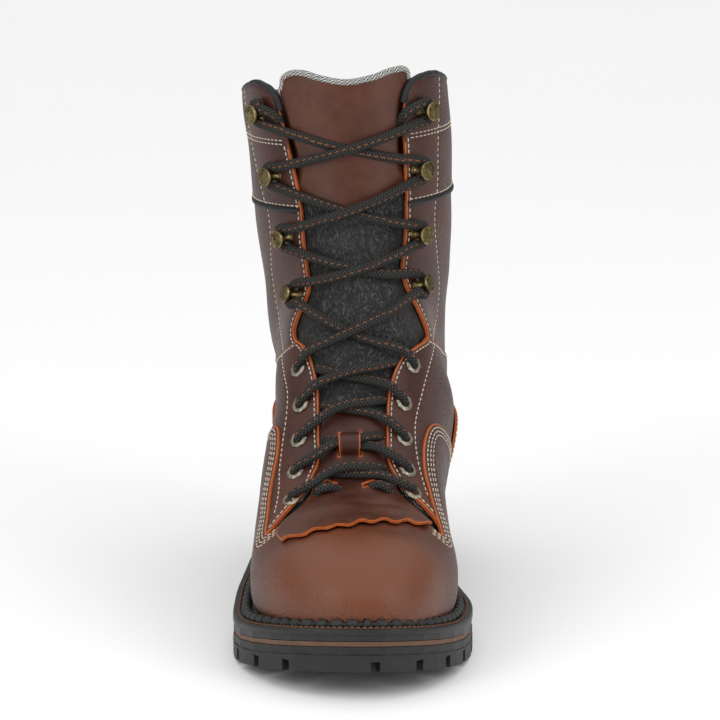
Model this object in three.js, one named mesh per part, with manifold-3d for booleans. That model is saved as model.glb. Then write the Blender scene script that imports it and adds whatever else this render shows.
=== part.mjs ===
// A right logger boot, in millimetres: toe toward -Y, medial side toward +X, floor at z = 0.
// The tables hold shares of the named sizes; a place along the boot runs from 0 at the heel's
// back to 1 at the toe's tip.
import * as THREE from "three";
import { mergeVertices } from "three/addons/utils/BufferGeometryUtils.js";
import Module from "manifold-3d";

const wasm = await Module();
wasm.setup();

// Driving sizes of the boot.
const outsoleLength = 305;
const ballWidth = 120;
const collarHeight = 277;
const seatHeight = 46;
const toeSpring = 13;
const shaftLean = 3.3;

// The sole's layers, from the tread up.
const lugDepth = 7;
const platePly = 5;
const brownPly = 2.25;
const blackPly = 2.75;
const weltPly = 3;
const ribHeight = 4.7;
const ribWidth = 2.4;
const insolePly = 3.2;
const heelLiftHeight = 14;
const heelBreastAt = 0.295;
const notchWidth = 4.5;
const notchReach = 15;

// Leather and fit.
const upperWall = 2.2;
const quarterStep = 1;
const vampStep = 1.9;
const overlayPly = 1.6;
const tonguePly = 2.8;
const tongueGap = 1.2;
const seam = 0.3;
const collarDip = 3.5;
const ankleShift = 5.2;

const formTurns = 20;

// Fittings and lace.
const eyeletDiameter = 10;
const eyeletHole = 4.4;
const eyeletHeight = 1.5;
const hookHeadDiameter = 10;
const hookHeight = 9;
const laceDiameter = 4.2;

// Shares along each curve: the welt's upper face is measured in seat heights.
const weltLine = [
  { at: 0, high: 1.02 },
  { at: 0.18, high: 1.01 },
  { at: 0.28, high: 0.965 },
  { at: 0.36, high: 0.88 },
  { at: 0.435, high: 0.74 },
  { at: 0.52, high: 0.565 },
  { at: 0.585, high: 0.47 },
  { at: 0.66, high: 0.435 },
  { at: 0.74, high: 0.435 },
  { at: 0.8, high: 0.475 },
  { at: 0.9, high: 0.6 },
  { at: 1, high: 0.765 },
];

// The tread's lowest face under the forefoot, in toe springs.
const treadLine = [
  { at: 0.55, high: 0.12 },
  { at: 0.6, high: 0.03 },
  { at: 0.63, high: 0 },
  { at: 0.75, high: 0 },
  { at: 0.8, high: 0.13 },
  { at: 0.86, high: 0.36 },
  { at: 0.93, high: 0.68 },
  { at: 1, high: 1.08 },
];

// The outsole's edge, in ball widths to each side of the long axis.
const soleEdge = [
  { at: 0, medial: -0.012, lateral: 0.012 },
  { at: 0.02, medial: 0.175, lateral: 0.195 },
  { at: 0.06, medial: 0.279, lateral: 0.3 },
  { at: 0.13, medial: 0.333, lateral: 0.358 },
  { at: 0.22, medial: 0.33, lateral: 0.367 },
  { at: 0.32, medial: 0.3, lateral: 0.375 },
  { at: 0.42, medial: 0.312, lateral: 0.4 },
  { at: 0.52, medial: 0.385, lateral: 0.452 },
  { at: 0.6, medial: 0.448, lateral: 0.485 },
  { at: 0.67, medial: 0.488, lateral: 0.493 },
  { at: 0.74, medial: 0.487, lateral: 0.492 },
  { at: 0.8, medial: 0.465, lateral: 0.475 },
  { at: 0.86, medial: 0.423, lateral: 0.425 },
  { at: 0.92, medial: 0.348, lateral: 0.328 },
  { at: 0.965, medial: 0.255, lateral: 0.215 },
  { at: 0.99, medial: 0.165, lateral: 0.085 },
  { at: 1, medial: 0.052, lateral: -0.052 },
];

// The upper's sections. Each lies in a plane through a front point and a back point of the side
// view: upright across the foot, turning round the heel, and level up the shaft. Heights are in
// collar heights, or left to the welt where the back point is tucked under it; half widths and
// the ridge are in ball widths; widest is the share of the way from front to back.
const sectionColumns = [
  "place", "frontAt", "frontHigh", "backAt", "backHigh",
  "medial", "lateral", "ridge", "widest", "frontSquare", "backSquare",
];
const sectionRows = [
  ["tip", 0.9705, 0.1372, 0.9705, 0.1372, 0.0000, 0.0000, 0.0458, 0.55, 2.20, 2.40],
  ["nose", 0.9656, 0.1643, 0.9656, 0.1083, 0.0917, 0.0917, 0.0450, 0.56, 2.30, 2.60],
  ["nose", 0.9508, 0.1877, 0.9511, 0.0848, 0.1708, 0.1792, 0.0383, 0.58, 2.40, 3.00],
  ["toe", 0.9262, 0.2076, 0.9272, null, 0.2292, 0.2417, 0.0300, 0.60, 2.40, 3.40],
  ["toe", 0.8918, 0.2256, 0.8934, null, 0.2833, 0.3000, 0.0217, 0.61, 2.40, 3.70],
  ["toe", 0.8475, 0.2383, 0.8508, null, 0.3292, 0.3500, 0.0167, 0.62, 2.30, 3.80],
  ["vamp", 0.7934, 0.2401, 0.7984, null, 0.3733, 0.3900, 0.0133, 0.62, 2.20, 3.80],
  ["ball", 0.7361, 0.2527, 0.7393, null, 0.3975, 0.4100, 0.0100, 0.60, 2.15, 3.80],
  ["waist", 0.6836, 0.2852, 0.6738, null, 0.3933, 0.4058, 0.0067, 0.58, 2.10, 3.70],
  ["instep", 0.6311, 0.3303, 0.6049, null, 0.3792, 0.3958, 0.0042, 0.56, 2.10, 3.60],
  ["instep", 0.5803, 0.3899, 0.5328, null, 0.3633, 0.3833, 0.0042, 0.55, 2.10, 3.50],
  ["instep", 0.5344, 0.4567, 0.4541, null, 0.3633, 0.3767, 0.0042, 0.55, 2.10, 3.40],
  ["ankle", 0.5000, 0.5217, 0.3623, null, 0.3733, 0.3750, 0.0042, 0.55, 2.10, 3.30],
  ["ankle", 0.4787, 0.5776, 0.2574, null, 0.3767, 0.3750, 0.0042, 0.54, 2.10, 3.20],
  ["ankle", 0.4656, 0.6227, 0.1525, null, 0.3700, 0.3700, 0.0025, 0.53, 2.10, 3.10],
  ["heel", 0.4557, 0.6588, 0.0607, 0.1318, 0.3658, 0.3658, 0.0000, 0.52, 2.10, 2.90],
  ["heel", 0.4492, 0.6877, 0.0197, 0.1769, 0.3700, 0.3717, 0.0000, 0.52, 2.10, 2.70],
  ["back", 0.4443, 0.7148, 0.0098, 0.2599, 0.3867, 0.3917, 0.0000, 0.51, 2.10, 2.50],
  ["back", 0.4393, 0.7437, 0.0180, 0.3538, 0.4000, 0.4067, 0.0000, 0.50, 2.10, 2.40],
  ["shaft", 0.4344, 0.7780, 0.0262, 0.4477, 0.4117, 0.4167, 0.0000, 0.50, 2.15, 2.30],
  ["shaft", 0.4311, 0.8177, 0.0361, 0.5523, 0.4267, 0.4267, 0.0000, 0.50, 2.20, 2.25],
  ["shaft", 0.4279, 0.8610, 0.0344, 0.6643, 0.4367, 0.4350, 0.0000, 0.50, 2.20, 2.20],
  ["shaft", 0.4262, 0.9079, 0.0279, 0.7690, 0.4433, 0.4400, 0.0000, 0.50, 2.20, 2.20],
  ["collar", 0.4262, 0.9549, 0.0230, 0.8484, 0.4417, 0.4517, 0.0000, 0.50, 2.20, 2.20],
  ["collar", 0.4262, 1.0000, 0.0213, 0.9097, 0.4383, 0.4550, 0.0000, 0.50, 2.20, 2.20],
];

// The open throat's half width to each side in ball widths, by the height of the front line:
// narrow over the instep, notched at the ankle, spreading to the collar.
const throatEdge = [
  { high: 0.272, lateral: 0.05, medial: 0.05 },
  { high: 0.28, lateral: 0.14, medial: 0.14 },
  { high: 0.297, lateral: 0.172, medial: 0.172 },
  { high: 0.325, lateral: 0.15, medial: 0.143 },
  { high: 0.378, lateral: 0.15, medial: 0.136 },
  { high: 0.45, lateral: 0.158, medial: 0.15 },
  { high: 0.5, lateral: 0.19, medial: 0.185 },
  { high: 0.545, lateral: 0.235, medial: 0.25 },
  { high: 0.585, lateral: 0.28, medial: 0.295 },
  { high: 0.612, lateral: 0.275, medial: 0.3 },
  { high: 0.635, lateral: 0.216, medial: 0.225 },
  { high: 0.66, lateral: 0.212, medial: 0.205 },
  { high: 0.7, lateral: 0.22, medial: 0.22 },
  { high: 0.77, lateral: 0.222, medial: 0.235 },
  { high: 0.85, lateral: 0.249, medial: 0.238 },
  { high: 0.895, lateral: 0.272, medial: 0.242 },
  { high: 0.941, lateral: 0.296, medial: 0.256 },
  { high: 0.971, lateral: 0.318, medial: 0.285 },
  { high: 0.989, lateral: 0.351, medial: 0.33 },
  { high: 1.01, lateral: 0.385, medial: 0.385 },
];

// Rows of the lacing from the vamp up: height of the front line, and the distance of eyelet or
// hook from the long axis in ball widths.
const lacingRows = [
  { lateralHigh: 0.287, lateral: 0.259, medialHigh: 0.295, medial: 0.238 },
  { lateralHigh: 0.326, lateral: 0.24, medialHigh: 0.326, medial: 0.217 },
  { lateralHigh: 0.376, lateral: 0.228, medialHigh: 0.375, medial: 0.205 },
  { lateralHigh: 0.434, lateral: 0.222, medialHigh: 0.434, medial: 0.203 },
  { lateralHigh: 0.504, lateral: 0.24, medialHigh: 0.508, medial: 0.234 },
  { lateralHigh: 0.648, lateral: 0.252, medialHigh: 0.655, medial: 0.252 },
  { lateralHigh: 0.74, lateral: 0.281, medialHigh: 0.73, medial: 0.262 },
  { lateralHigh: 0.835, lateral: 0.316, medialHigh: 0.826, medial: 0.284 },
  { lateralHigh: 0.943, lateral: 0.357, medialHigh: 0.924, medial: 0.318 },
];
const eyeletRows = 5;

const hermite = (p0, p1, m0, m1, u) => {
  const u2 = u * u;
  const u3 = u2 * u;
  return (2 * u3 - 3 * u2 + 1) * p0 + (u3 - 2 * u2 + u) * m0
    + (3 * u2 - 2 * u3) * p1 + (u3 - u2) * m1;
};
const lerp = (a, b, u) => a + (b - a) * u;
const clamp = (x, a, b) => Math.min(b, Math.max(a, x));
const smooth = (x, a, b) => {
  const u = clamp((x - a) / (b - a), 0, 1);
  return u * u * (3 - 2 * u);
};

// A smooth curve through a table's rows, read by one named column; straight beyond its ends.
function curveOf(rows, by, column, warp = (x) => x) {
  const xs = rows.map((row) => warp(row[by]));
  const ys = rows.map((row) => row[column]);
  const slope = (i) => (ys[i + 1] - ys[i]) / (xs[i + 1] - xs[i]);
  const last = xs.length - 1;
  const tangents = xs.map((x, i) => {
    if (i === 0) return slope(0);
    if (i === last) return slope(last - 1);
    const before = xs[i] - xs[i - 1];
    const after = xs[i + 1] - xs[i];
    return (slope(i - 1) * after + slope(i) * before) / (before + after);
  });
  return (value) => {
    const x = warp(value);
    if (x <= xs[0]) return ys[0] + (x - xs[0]) * tangents[0];
    if (x >= xs[last]) return ys[last] + (x - xs[last]) * tangents[last];
    let i = 0;
    while (x > xs[i + 1]) i += 1;
    const span = xs[i + 1] - xs[i];
    return hermite(ys[i], ys[i + 1], tangents[i] * span, tangents[i + 1] * span, (x - xs[i]) / span);
  };
}

const alongOf = (y) => 0.5 - y / outsoleLength;
const yOf = (at) => outsoleLength * (0.5 - at);
const weltHigh = curveOf(weltLine, "at", "high");
const treadHigh = curveOf(treadLine, "at", "high");
const weltZ = (y) => seatHeight * weltHigh(clamp(alongOf(y), 0, 1));
const treadZ = (y) => toeSpring * Math.max(0, treadHigh(clamp(alongOf(y), 0.5, 1)));

// The section table as smooth columns over the section's number.
const sections = sectionRows.map((row, index) => {
  const made = { index };
  sectionColumns.forEach((name, column) => {
    made[name] = row[column];
  });
  if (made.backHigh === null) {
    const backZ = weltZ(yOf(made.backAt)) - 4 - 9 * smooth(made.backAt, 0.75, 0.3);
    made.backHigh = backZ / collarHeight;
  }
  return made;
});
const lastSection = sections.length - 1;
const mirrored = { ...sections[1], index: -1 };
for (const name of ["medial", "lateral"]) mirrored[name] = -sections[1][name];
for (const name of ["frontHigh", "backHigh"]) {
  mirrored[name] = 2 * sections[0][name] - sections[1][name];
}
const sectionCurves = {};
for (const name of sectionColumns.slice(1)) {
  sectionCurves[name] = curveOf([mirrored, ...sections], "index", name);
}

const leanAt = (z) => {
  const rise = z / collarHeight;
  const shear = Math.tan((shaftLean * Math.PI) / 180) * collarHeight;
  return -shear * (rise - 0.7) * smooth(rise, 0.42, 0.6);
};
const ankleAt = (y, z) => {
  const rise = z / collarHeight;
  return ankleShift * smooth(rise, 0.16, 0.33) * (1 - smooth(rise, 0.34, 0.55))
    * smooth(y, -0.06 * outsoleLength, 0.15 * outsoleLength);
};

// The point of the upper's outer form at section number s and turn t: 0 on the front ridge,
// 1 at the back point by the medial side, -1 at the back point by the lateral side.
function formPoint(s, t) {
  const turn = t > 1 ? t - 2 : t < -1 ? t + 2 : t;
  const c = {};
  for (const name in sectionCurves) c[name] = sectionCurves[name](s);
  const angle = Math.PI * Math.abs(turn);
  const power = angle < Math.PI / 2 ? c.frontSquare : c.backSquare;
  const cos = Math.cos(angle);
  const sin = Math.sin(angle);
  const reach = (Math.abs(cos) ** power + Math.abs(sin) ** power) ** (-1 / power);
  const share = cos > 0
    ? c.widest * (1 - reach * cos)
    : c.widest - (1 - c.widest) * reach * cos;
  const half = ballWidth * (turn > 0 ? c.medial : c.lateral) * reach * sin;
  const y = lerp(yOf(c.frontAt), yOf(c.backAt), share);
  let z = collarHeight * lerp(c.frontHigh, c.backHigh, share);
  z -= collarDip * 4 * share * (1 - share) * smooth(s, lastSection - 3, lastSection);
  let x = ballWidth * c.ridge + (turn > 0 ? half : -half);
  z += x * Math.tan((shaftLean * Math.PI) / 180) * smooth(z / collarHeight, 0.4, 0.65);
  x += leanAt(z) + ankleAt(y, z);
  return new THREE.Vector3(x, y, z);
}

function formNormal(s, t) {
  const at = Math.max(s, 0.04);
  const along = formPoint(at + 0.02, t).sub(formPoint(at - 0.02, t));
  const round = formPoint(at, t + 0.004).sub(formPoint(at, t - 0.004));
  return round.cross(along).normalize();
}
const formOffset = (s, t, offset) =>
  formPoint(s, t).addScaledVector(formNormal(s, t), offset);

// The section number whose front point stands at a height, and the turn at a distance from the
// long axis on the front of that section.
function sectionAtFront(high) {
  let low = 5;
  let top = lastSection + 1;
  for (let i = 0; i < 40; i += 1) {
    const middle = (low + top) / 2;
    if (sectionCurves.frontHigh(middle) < high) low = middle;
    else top = middle;
  }
  return low;
}
function turnAtX(s, x, side) {
  const half = ballWidth * sectionCurves[side](s);
  const power = sectionCurves.frontSquare(s);
  const share = clamp(x / half, 0, 0.999);
  return Math.atan2(share, (1 - share ** power) ** (1 / power)) / Math.PI;
}

function geometryOf(vertices, triangles) {
  const geometry = new THREE.BufferGeometry();
  geometry.setAttribute("position", new THREE.Float32BufferAttribute(vertices, 3));
  geometry.setIndex(triangles);
  return geometry;
}
function solidOf(geometry) {
  const bare = geometry.clone();
  bare.deleteAttribute("normal");
  bare.deleteAttribute("uv");
  const merged = mergeVertices(bare, 1e-4);
  const made = new wasm.Manifold(new wasm.Mesh({
    numProp: 3,
    vertProperties: new Float32Array(merged.attributes.position.array),
    triVerts: new Uint32Array(merged.index.array),
  }));
  return made;
}

// The rings of the form: one a section, two where the toe and the heel turn sharply.
function ringPlaces(endSection) {
  const places = [];
  for (let s = 0; s <= lastSection; s += 0.5) {
    const whole = Number.isInteger(s);
    const sharp = s < 4 || (s > 13 && s < 17);
    if (s > 0 && s < endSection && (whole || sharp)) places.push(s);
  }
  places.push(endSection);
  return places;
}

// The upper's form, grown or shrunk by an offset, closed with a flat cap beyond its last section.
function formSolid(offset, endSection, turns = formTurns) {
  const vertices = formOffset(0, 0, offset).toArray();
  const triangles = [];
  const places = ringPlaces(endSection);
  for (const s of places) {
    for (let j = 0; j < turns; j += 1) {
      vertices.push(...formOffset(s, -1 + (2 * j) / turns, offset).toArray());
    }
  }
  const rings = places.length;
  const at = (i, j) => 1 + i * turns + ((j + turns) % turns);
  const cap = vertices.length / 3;
  const front = formOffset(endSection, 0, offset);
  const back = formOffset(endSection, 1, offset);
  vertices.push(...front.add(back).multiplyScalar(0.5).toArray());
  for (let j = 0; j < turns; j += 1) {
    triangles.push(0, at(0, j + 1), at(0, j));
    for (let i = 0; i < rings - 1; i += 1) {
      triangles.push(at(i, j), at(i, j + 1), at(i + 1, j + 1));
      triangles.push(at(i, j), at(i + 1, j + 1), at(i + 1, j));
    }
    triangles.push(cap, at(rings - 1, j), at(rings - 1, j + 1));
  }
  return solidOf(geometryOf(vertices, triangles));
}

// A closed slab of material on the form, between two turns and two sections.
function patchSolid({ from, to, start, end, inner, outer, along, round }) {
  const vertices = [];
  const triangles = [];
  const valueOf = (v, s, q) => (typeof v === "function" ? v(s, q) : v);
  for (const layer of [inner, outer]) {
    for (let i = 0; i <= along; i += 1) {
      const s = lerp(from, to, i / along);
      for (let j = 0; j <= round; j += 1) {
        const q = j / round;
        const t = lerp(valueOf(start, s), valueOf(end, s), q);
        vertices.push(...formOffset(s, t, valueOf(layer, s, q)).toArray());
      }
    }
  }
  const size = (along + 1) * (round + 1);
  const at = (layer, i, j) => layer * size + i * (round + 1) + j;
  const quad = (a, b, c, d) => triangles.push(a, b, c, a, c, d);
  for (let i = 0; i < along; i += 1) {
    for (let j = 0; j < round; j += 1) {
      quad(at(1, i, j), at(1, i, j + 1), at(1, i + 1, j + 1), at(1, i + 1, j));
      quad(at(0, i, j), at(0, i + 1, j), at(0, i + 1, j + 1), at(0, i, j + 1));
    }
    quad(at(0, i, 0), at(1, i, 0), at(1, i + 1, 0), at(0, i + 1, 0));
    quad(at(0, i, round), at(0, i + 1, round), at(1, i + 1, round), at(1, i, round));
  }
  for (let j = 0; j < round; j += 1) {
    quad(at(0, 0, j), at(0, 0, j + 1), at(1, 0, j + 1), at(1, 0, j));
    quad(at(0, along, j), at(1, along, j), at(1, along, j + 1), at(0, along, j + 1));
  }
  return solidOf(geometryOf(vertices, triangles));
}

// Points of the outsole's edge, pulled in by an inset, from the heel's back to the toe's tip.
const edgeWarp = (at) => Math.acos(clamp(1 - 2 * at, -1, 1));
const edgeCurves = {
  medial: curveOf(soleEdge, "at", "medial", edgeWarp),
  lateral: curveOf(soleEdge, "at", "lateral", edgeWarp),
};
function edgePoint(side, at, inset = 0) {
  const sign = side === "medial" ? 1 : -1;
  const place = (share) => new THREE.Vector2(
    sign * ballWidth * edgeCurves[side](clamp(share, 0, 1)),
    yOf(clamp(share, 0, 1)),
  );
  const run = place(at + 0.002).sub(place(at - 0.002)).normalize();
  const outward = new THREE.Vector2(-sign * run.y, sign * run.x);
  return place(at).addScaledVector(outward, -inset);
}

// A layer that follows the outsole's edge, between two faces given by height along the boot.
function slabSolid({ from = 0, to = 1, inset = 0, top, bottom, steps = 22 }) {
  const vertices = [];
  const triangles = [];
  const a = edgeWarp(from);
  const b = edgeWarp(to);
  for (let i = 0; i <= steps; i += 1) {
    const at = (1 - Math.cos(lerp(a, b, i / steps))) / 2;
    for (const side of ["lateral", "medial"]) {
      const p = edgePoint(side, at, inset);
      vertices.push(p.x, p.y, bottom(p.y), p.x, p.y, top(p.y));
    }
  }
  const at = (i, side, level) => i * 4 + side * 2 + level;
  const quad = (p, q, r, s) => triangles.push(p, q, r, p, r, s);
  for (let i = 0; i < steps; i += 1) {
    quad(at(i, 0, 1), at(i + 1, 0, 1), at(i + 1, 1, 1), at(i, 1, 1));
    quad(at(i, 0, 0), at(i, 1, 0), at(i + 1, 1, 0), at(i + 1, 0, 0));
    quad(at(i, 0, 0), at(i + 1, 0, 0), at(i + 1, 0, 1), at(i, 0, 1));
    quad(at(i, 1, 0), at(i, 1, 1), at(i + 1, 1, 1), at(i + 1, 1, 0));
  }
  quad(at(0, 0, 0), at(0, 0, 1), at(0, 1, 1), at(0, 1, 0));
  quad(at(steps, 0, 0), at(steps, 1, 0), at(steps, 1, 1), at(steps, 0, 1));
  return solidOf(geometryOf(vertices, triangles));
}

function boxSolid(width, depth, height, x, y, z, turn = 0) {
  const geometry = new THREE.BoxGeometry(width, depth, height);
  geometry.rotateZ(turn);
  geometry.translate(x, y, z);
  return solidOf(geometry);
}

// A side-view outline carried across the boot's whole width.
function sideSolid(points) {
  const shape = new THREE.Shape(points.map(([y, z]) => new THREE.Vector2(y, z)));
  const geometry = new THREE.ExtrudeGeometry(shape, { depth: 4 * ballWidth, bevelEnabled: false });
  geometry.applyMatrix4(new THREE.Matrix4().set(
    0, 0, 1, -2 * ballWidth,
    1, 0, 0, 0,
    0, 1, 0, 0,
    0, 0, 0, 1,
  ));
  return solidOf(geometry);
}

// Everything between two heights along the boot, wider and longer than the boot.
function bandSolid(low, high, steps = 22) {
  const places = [-0.15];
  for (let i = 0; i <= steps; i += 1) places.push((1 - Math.cos((Math.PI * i) / steps)) / 2);
  places.push(1.15);
  const ys = places.map(yOf);
  return sideSolid([
    ...ys.map((y) => [y, low(y)]),
    ...ys.slice().reverse().map((y) => [y, high(y)]),
  ]);
}

const part = new THREE.Group();
part.name = "logger_boot";
const looks = {
  leather: new THREE.MeshStandardMaterial({ color: 0x4e2a23, roughness: 0.55 }),
  overlay: new THREE.MeshStandardMaterial({ color: 0x57302a, roughness: 0.6 }),
  tongue: new THREE.MeshStandardMaterial({ color: 0x3a3534, roughness: 0.6 }),
  rubber: new THREE.MeshStandardMaterial({ color: 0x2b2a29, roughness: 0.8 }),
  brown: new THREE.MeshStandardMaterial({ color: 0x7d5541, roughness: 0.7 }),
  brass: new THREE.MeshStandardMaterial({ color: 0x78693c, roughness: 0.4, metalness: 1 }),
  steel: new THREE.MeshStandardMaterial({ color: 0xb4af9b, roughness: 0.35, metalness: 1 }),
  lace: new THREE.MeshStandardMaterial({ color: 0x2d2d2a, roughness: 0.9 }),
};
function addNode(name, solid, look) {
  const mesh = solid.getMesh();
  const geometry = geometryOf(Array.from(mesh.vertProperties), Array.from(mesh.triVerts));
  geometry.computeVertexNormals();
  const node = new THREE.Mesh(geometry, looks[look].clone());
  node.name = name;
  part.add(node);
}

// The sole: plate with lugs, heel, two midsole layers, welt with its rib, and the insole.
const weltBottom = (y) => weltZ(y) - weltPly;
const blackBottom = (y) => weltBottom(y) - seam - blackPly;
const brownBottom = (y) => blackBottom(y) - seam - brownPly;
const plateTop = (y) => brownBottom(y) - seam;
const plateBottom = (y) => plateTop(y) - platePly;
const forefootFrom = 0.55;

function notchSolids(places, low, high, floor) {
  const solids = [];
  for (const { side, at } of places) {
    const outer = edgePoint(side, at, -4);
    const inner = edgePoint(side, at, notchReach);
    const run = outer.clone().sub(inner);
    const middle = outer.clone().add(inner).multiplyScalar(0.5);
    solids.push(boxSolid(run.length(), notchWidth, high - low, middle.x, middle.y,
      (high + low) / 2 + floor(middle.y), Math.atan2(run.y, run.x)));
  }
  return solids;
}

const forefootNotches = [
  { side: "lateral", at: 0.948 },
  { side: "lateral", at: 0.888 },
  { side: "lateral", at: 0.815 },
  { side: "lateral", at: 0.74 },
  { side: "lateral", at: 0.665 },
  { side: "lateral", at: 0.595 },
  { side: "medial", at: 0.962 },
  { side: "medial", at: 0.9 },
  { side: "medial", at: 0.83 },
  { side: "medial", at: 0.755 },
  { side: "medial", at: 0.68 },
  { side: "medial", at: 0.605 },
  { side: "medial", at: 0.999 },
];
const heelNotches = [
  { side: "lateral", at: 0.045 },
  { side: "lateral", at: 0.125 },
  { side: "lateral", at: 0.205 },
  { side: "medial", at: 0.045 },
  { side: "medial", at: 0.125 },
  { side: "medial", at: 0.205 },
];

const plate = slabSolid({ top: plateTop, bottom: plateBottom, inset: 0.2 });
let lugs = slabSolid({
  from: forefootFrom, top: (y) => plateBottom(y) + 1, bottom: treadZ, steps: 22,
});
const channel = slabSolid({
  from: forefootFrom + 0.03, to: 0.985, inset: notchReach,
  top: (y) => treadZ(y) + lugDepth, bottom: (y) => treadZ(y) - 3, steps: 14,
}).subtract(slabSolid({
  from: forefootFrom + 0.045, to: 0.98, inset: notchReach + notchWidth,
  top: (y) => treadZ(y) + lugDepth + 2, bottom: (y) => treadZ(y) - 5, steps: 14,
}));
lugs = lugs.subtract(channel);
for (const cut of notchSolids(forefootNotches, -lugDepth, lugDepth * 0.9, treadZ)) {
  lugs = lugs.subtract(cut);
}
for (let k = 0; k < 4; k += 1) {
  const y = yOf(lerp(0.65, 0.91, k / 3));
  lugs = lugs.subtract(boxSolid(ballWidth - 2 * notchReach - 14, notchWidth, 2 * lugDepth,
    0, y, treadZ(y) - 0.5));
}
addNode("outsole", plate.add(lugs), "rubber");

const heelTop = (y) => plateBottom(y) - seam;
addNode("heel_block", slabSolid({
  to: heelBreastAt, inset: 1, top: heelTop, bottom: () => heelLiftHeight + seam, steps: 16,
}), "rubber");
let lift = slabSolid({
  to: heelBreastAt, inset: 0.6, top: () => heelLiftHeight, bottom: () => 0, steps: 16,
});
for (const cut of notchSolids(heelNotches, -lugDepth, lugDepth, () => 0)) lift = lift.subtract(cut);
addNode("heel_lift", lift, "rubber");

addNode("midsole_brown", slabSolid({
  inset: 0.5, top: (y) => brownBottom(y) + brownPly, bottom: brownBottom,
}), "brown");
addNode("midsole_black", slabSolid({
  inset: 0.2, top: (y) => blackBottom(y) + blackPly, bottom: blackBottom,
}), "rubber");

// Side-view outlines of the pieces that lie over the shaft's leather: share along the boot and
// height in collar heights. The lower quarter ends at an arched seam; the vamp runs back in
// a wing to each side.
const quarterTop = [
  [-0.1, 0.48], [0.3, 0.433], [0.37, 0.447], [0.42, 0.472], [0.46, 0.5], [0.49, 0.515],
  [0.56, 0.56], [1.2, 0.56], [1.2, -0.2], [-0.1, -0.2],
];
const vampEdge = [
  [0.305, 0.1], [0.316, 0.19], [0.335, 0.255], [0.37, 0.312], [0.42, 0.352], [0.46, 0.368],
  [0.496, 0.366], [0.52, 0.357], [0.54, 0.345], [0.555, 0.336], [0.61, 0.296], [0.655, 0.256],
  [0.7, 0.224], [0.722, 0.206], [0.73, 0.21], [0.728, 0.4], [1.2, 0.4], [1.2, -0.2], [0.305, -0.2],
];
const sideShares = (shares) => sideSolid(shares.map(([at, high]) => [yOf(at), collarHeight * high]));
const collarEnd = lastSection - 0.2;
const outerForm = formSolid(0, collarEnd)
  .add(formSolid(quarterStep, 19).intersect(sideShares(quarterTop)))
  .add(formSolid(vampStep, 16).intersect(sideShares(vampEdge)));
const innerForm = formSolid(-upperWall, lastSection);

const ribZone = bandSolid((y) => weltZ(y) - 0.5 * weltPly, (y) => weltZ(y) + ribHeight);
const footTop = 18;
const rib = formSolid(vampStep + seam + ribWidth, footTop)
  .subtract(formSolid(vampStep + seam, footTop + 1))
  .intersect(ribZone);
const weltPlate = slabSolid({ top: weltZ, bottom: weltBottom });
addNode("welt", weltPlate.add(rib), "rubber");

addNode("insole", bandSolid(
  (y) => weltZ(y) + seam,
  (y) => weltZ(y) + seam + insolePly,
).intersect(formSolid(-upperWall - seam, footTop)), "overlay");

// The upper: one shell, open at collar, throat and underneath.
const throatHalf = {
  lateral: curveOf(throatEdge, "high", "lateral"),
  medial: curveOf(throatEdge, "high", "medial"),
};
const throatX = (s, side) => ballWidth * throatHalf[side](sectionCurves.frontHigh(s));
const throatTurn = (s, side, more = 0) => turnAtX(s, throatX(s, side) + more, side);
const throatFoot = sectionAtFront(throatEdge[0].high);
const throatCut = patchSolid({
  from: throatFoot, to: lastSection + 0.5, along: 36, round: 4,
  start: (s) => -throatTurn(s, "lateral"),
  end: (s) => throatTurn(s, "medial"),
  inner: -3 * upperWall, outer: 3 * upperWall,
});
const aboveWelt = bandSolid((y) => weltZ(y) + seam, () => 2 * collarHeight);
const upper = outerForm.subtract(innerForm).subtract(throatCut).intersect(aboveWelt);
addNode("upper", upper, "leather");

// The tongue lies under the throat's edges and rises to the collar.
addNode("tongue", patchSolid({
  from: throatFoot - 0.45, to: lastSection - 0.45, along: 16, round: 5,
  start: (s) => -throatTurn(s, "lateral", 7),
  end: (s) => throatTurn(s, "medial", 7),
  inner: -upperWall - tongueGap - tonguePly, outer: -upperWall - tongueGap,
}), "tongue");

// Overlays: the heel counter, the piping round the shaft, and the collar's rolled binding.
const counterEdge = [
  [-0.1, 0.343], [0.1, 0.35], [0.2, 0.352], [0.29, 0.352], [0.325, 0.344], [0.341, 0.325],
  [0.344, 0.29], [0.328, 0.257], [0.309, 0.19], [0.298, 0.1], [0.298, -0.2], [-0.1, -0.2],
];
const overlayShell = (base, ply, end) => formSolid(base + seam + ply, end)
  .subtract(formSolid(base + seam, end + 1));
addNode("counter", overlayShell(quarterStep, overlayPly, 17)
  .intersect(sideShares(counterEdge))
  .intersect(bandSolid((y) => weltZ(y) + ribHeight + seam, () => collarHeight)), "overlay");

const pipingAt = 0.747;
const pipingHeight = 3;
const sleeve = patchSolid({
  from: 17, to: 23, along: 12, round: 6,
  start: (s) => -throatTurn(s, "lateral", 2), end: (s) => throatTurn(s, "medial", 2),
  inner: -upperWall, outer: 4 * upperWall,
});
const pipingLow = pipingAt - pipingHeight / 2 / collarHeight;
const pipingTop = pipingAt + pipingHeight / 2 / collarHeight;
addNode("piping", overlayShell(0, overlayPly, 23)
  .intersect(sideShares([[-0.2, pipingLow], [0.6, pipingLow], [0.6, pipingTop], [-0.2, pipingTop]])
    .rotate([0, -shaftLean, 0]))
  .subtract(sleeve), "tongue");

addNode("collar_binding", patchSolid({
  from: collarEnd + 0.03, to: lastSection + 0.05, along: 1, round: formTurns,
  start: (s) => throatTurn(s, "medial"), end: (s) => 2 - throatTurn(s, "lateral"),
  inner: -upperWall - 0.7, outer: 0.9,
}), "tongue");

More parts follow.
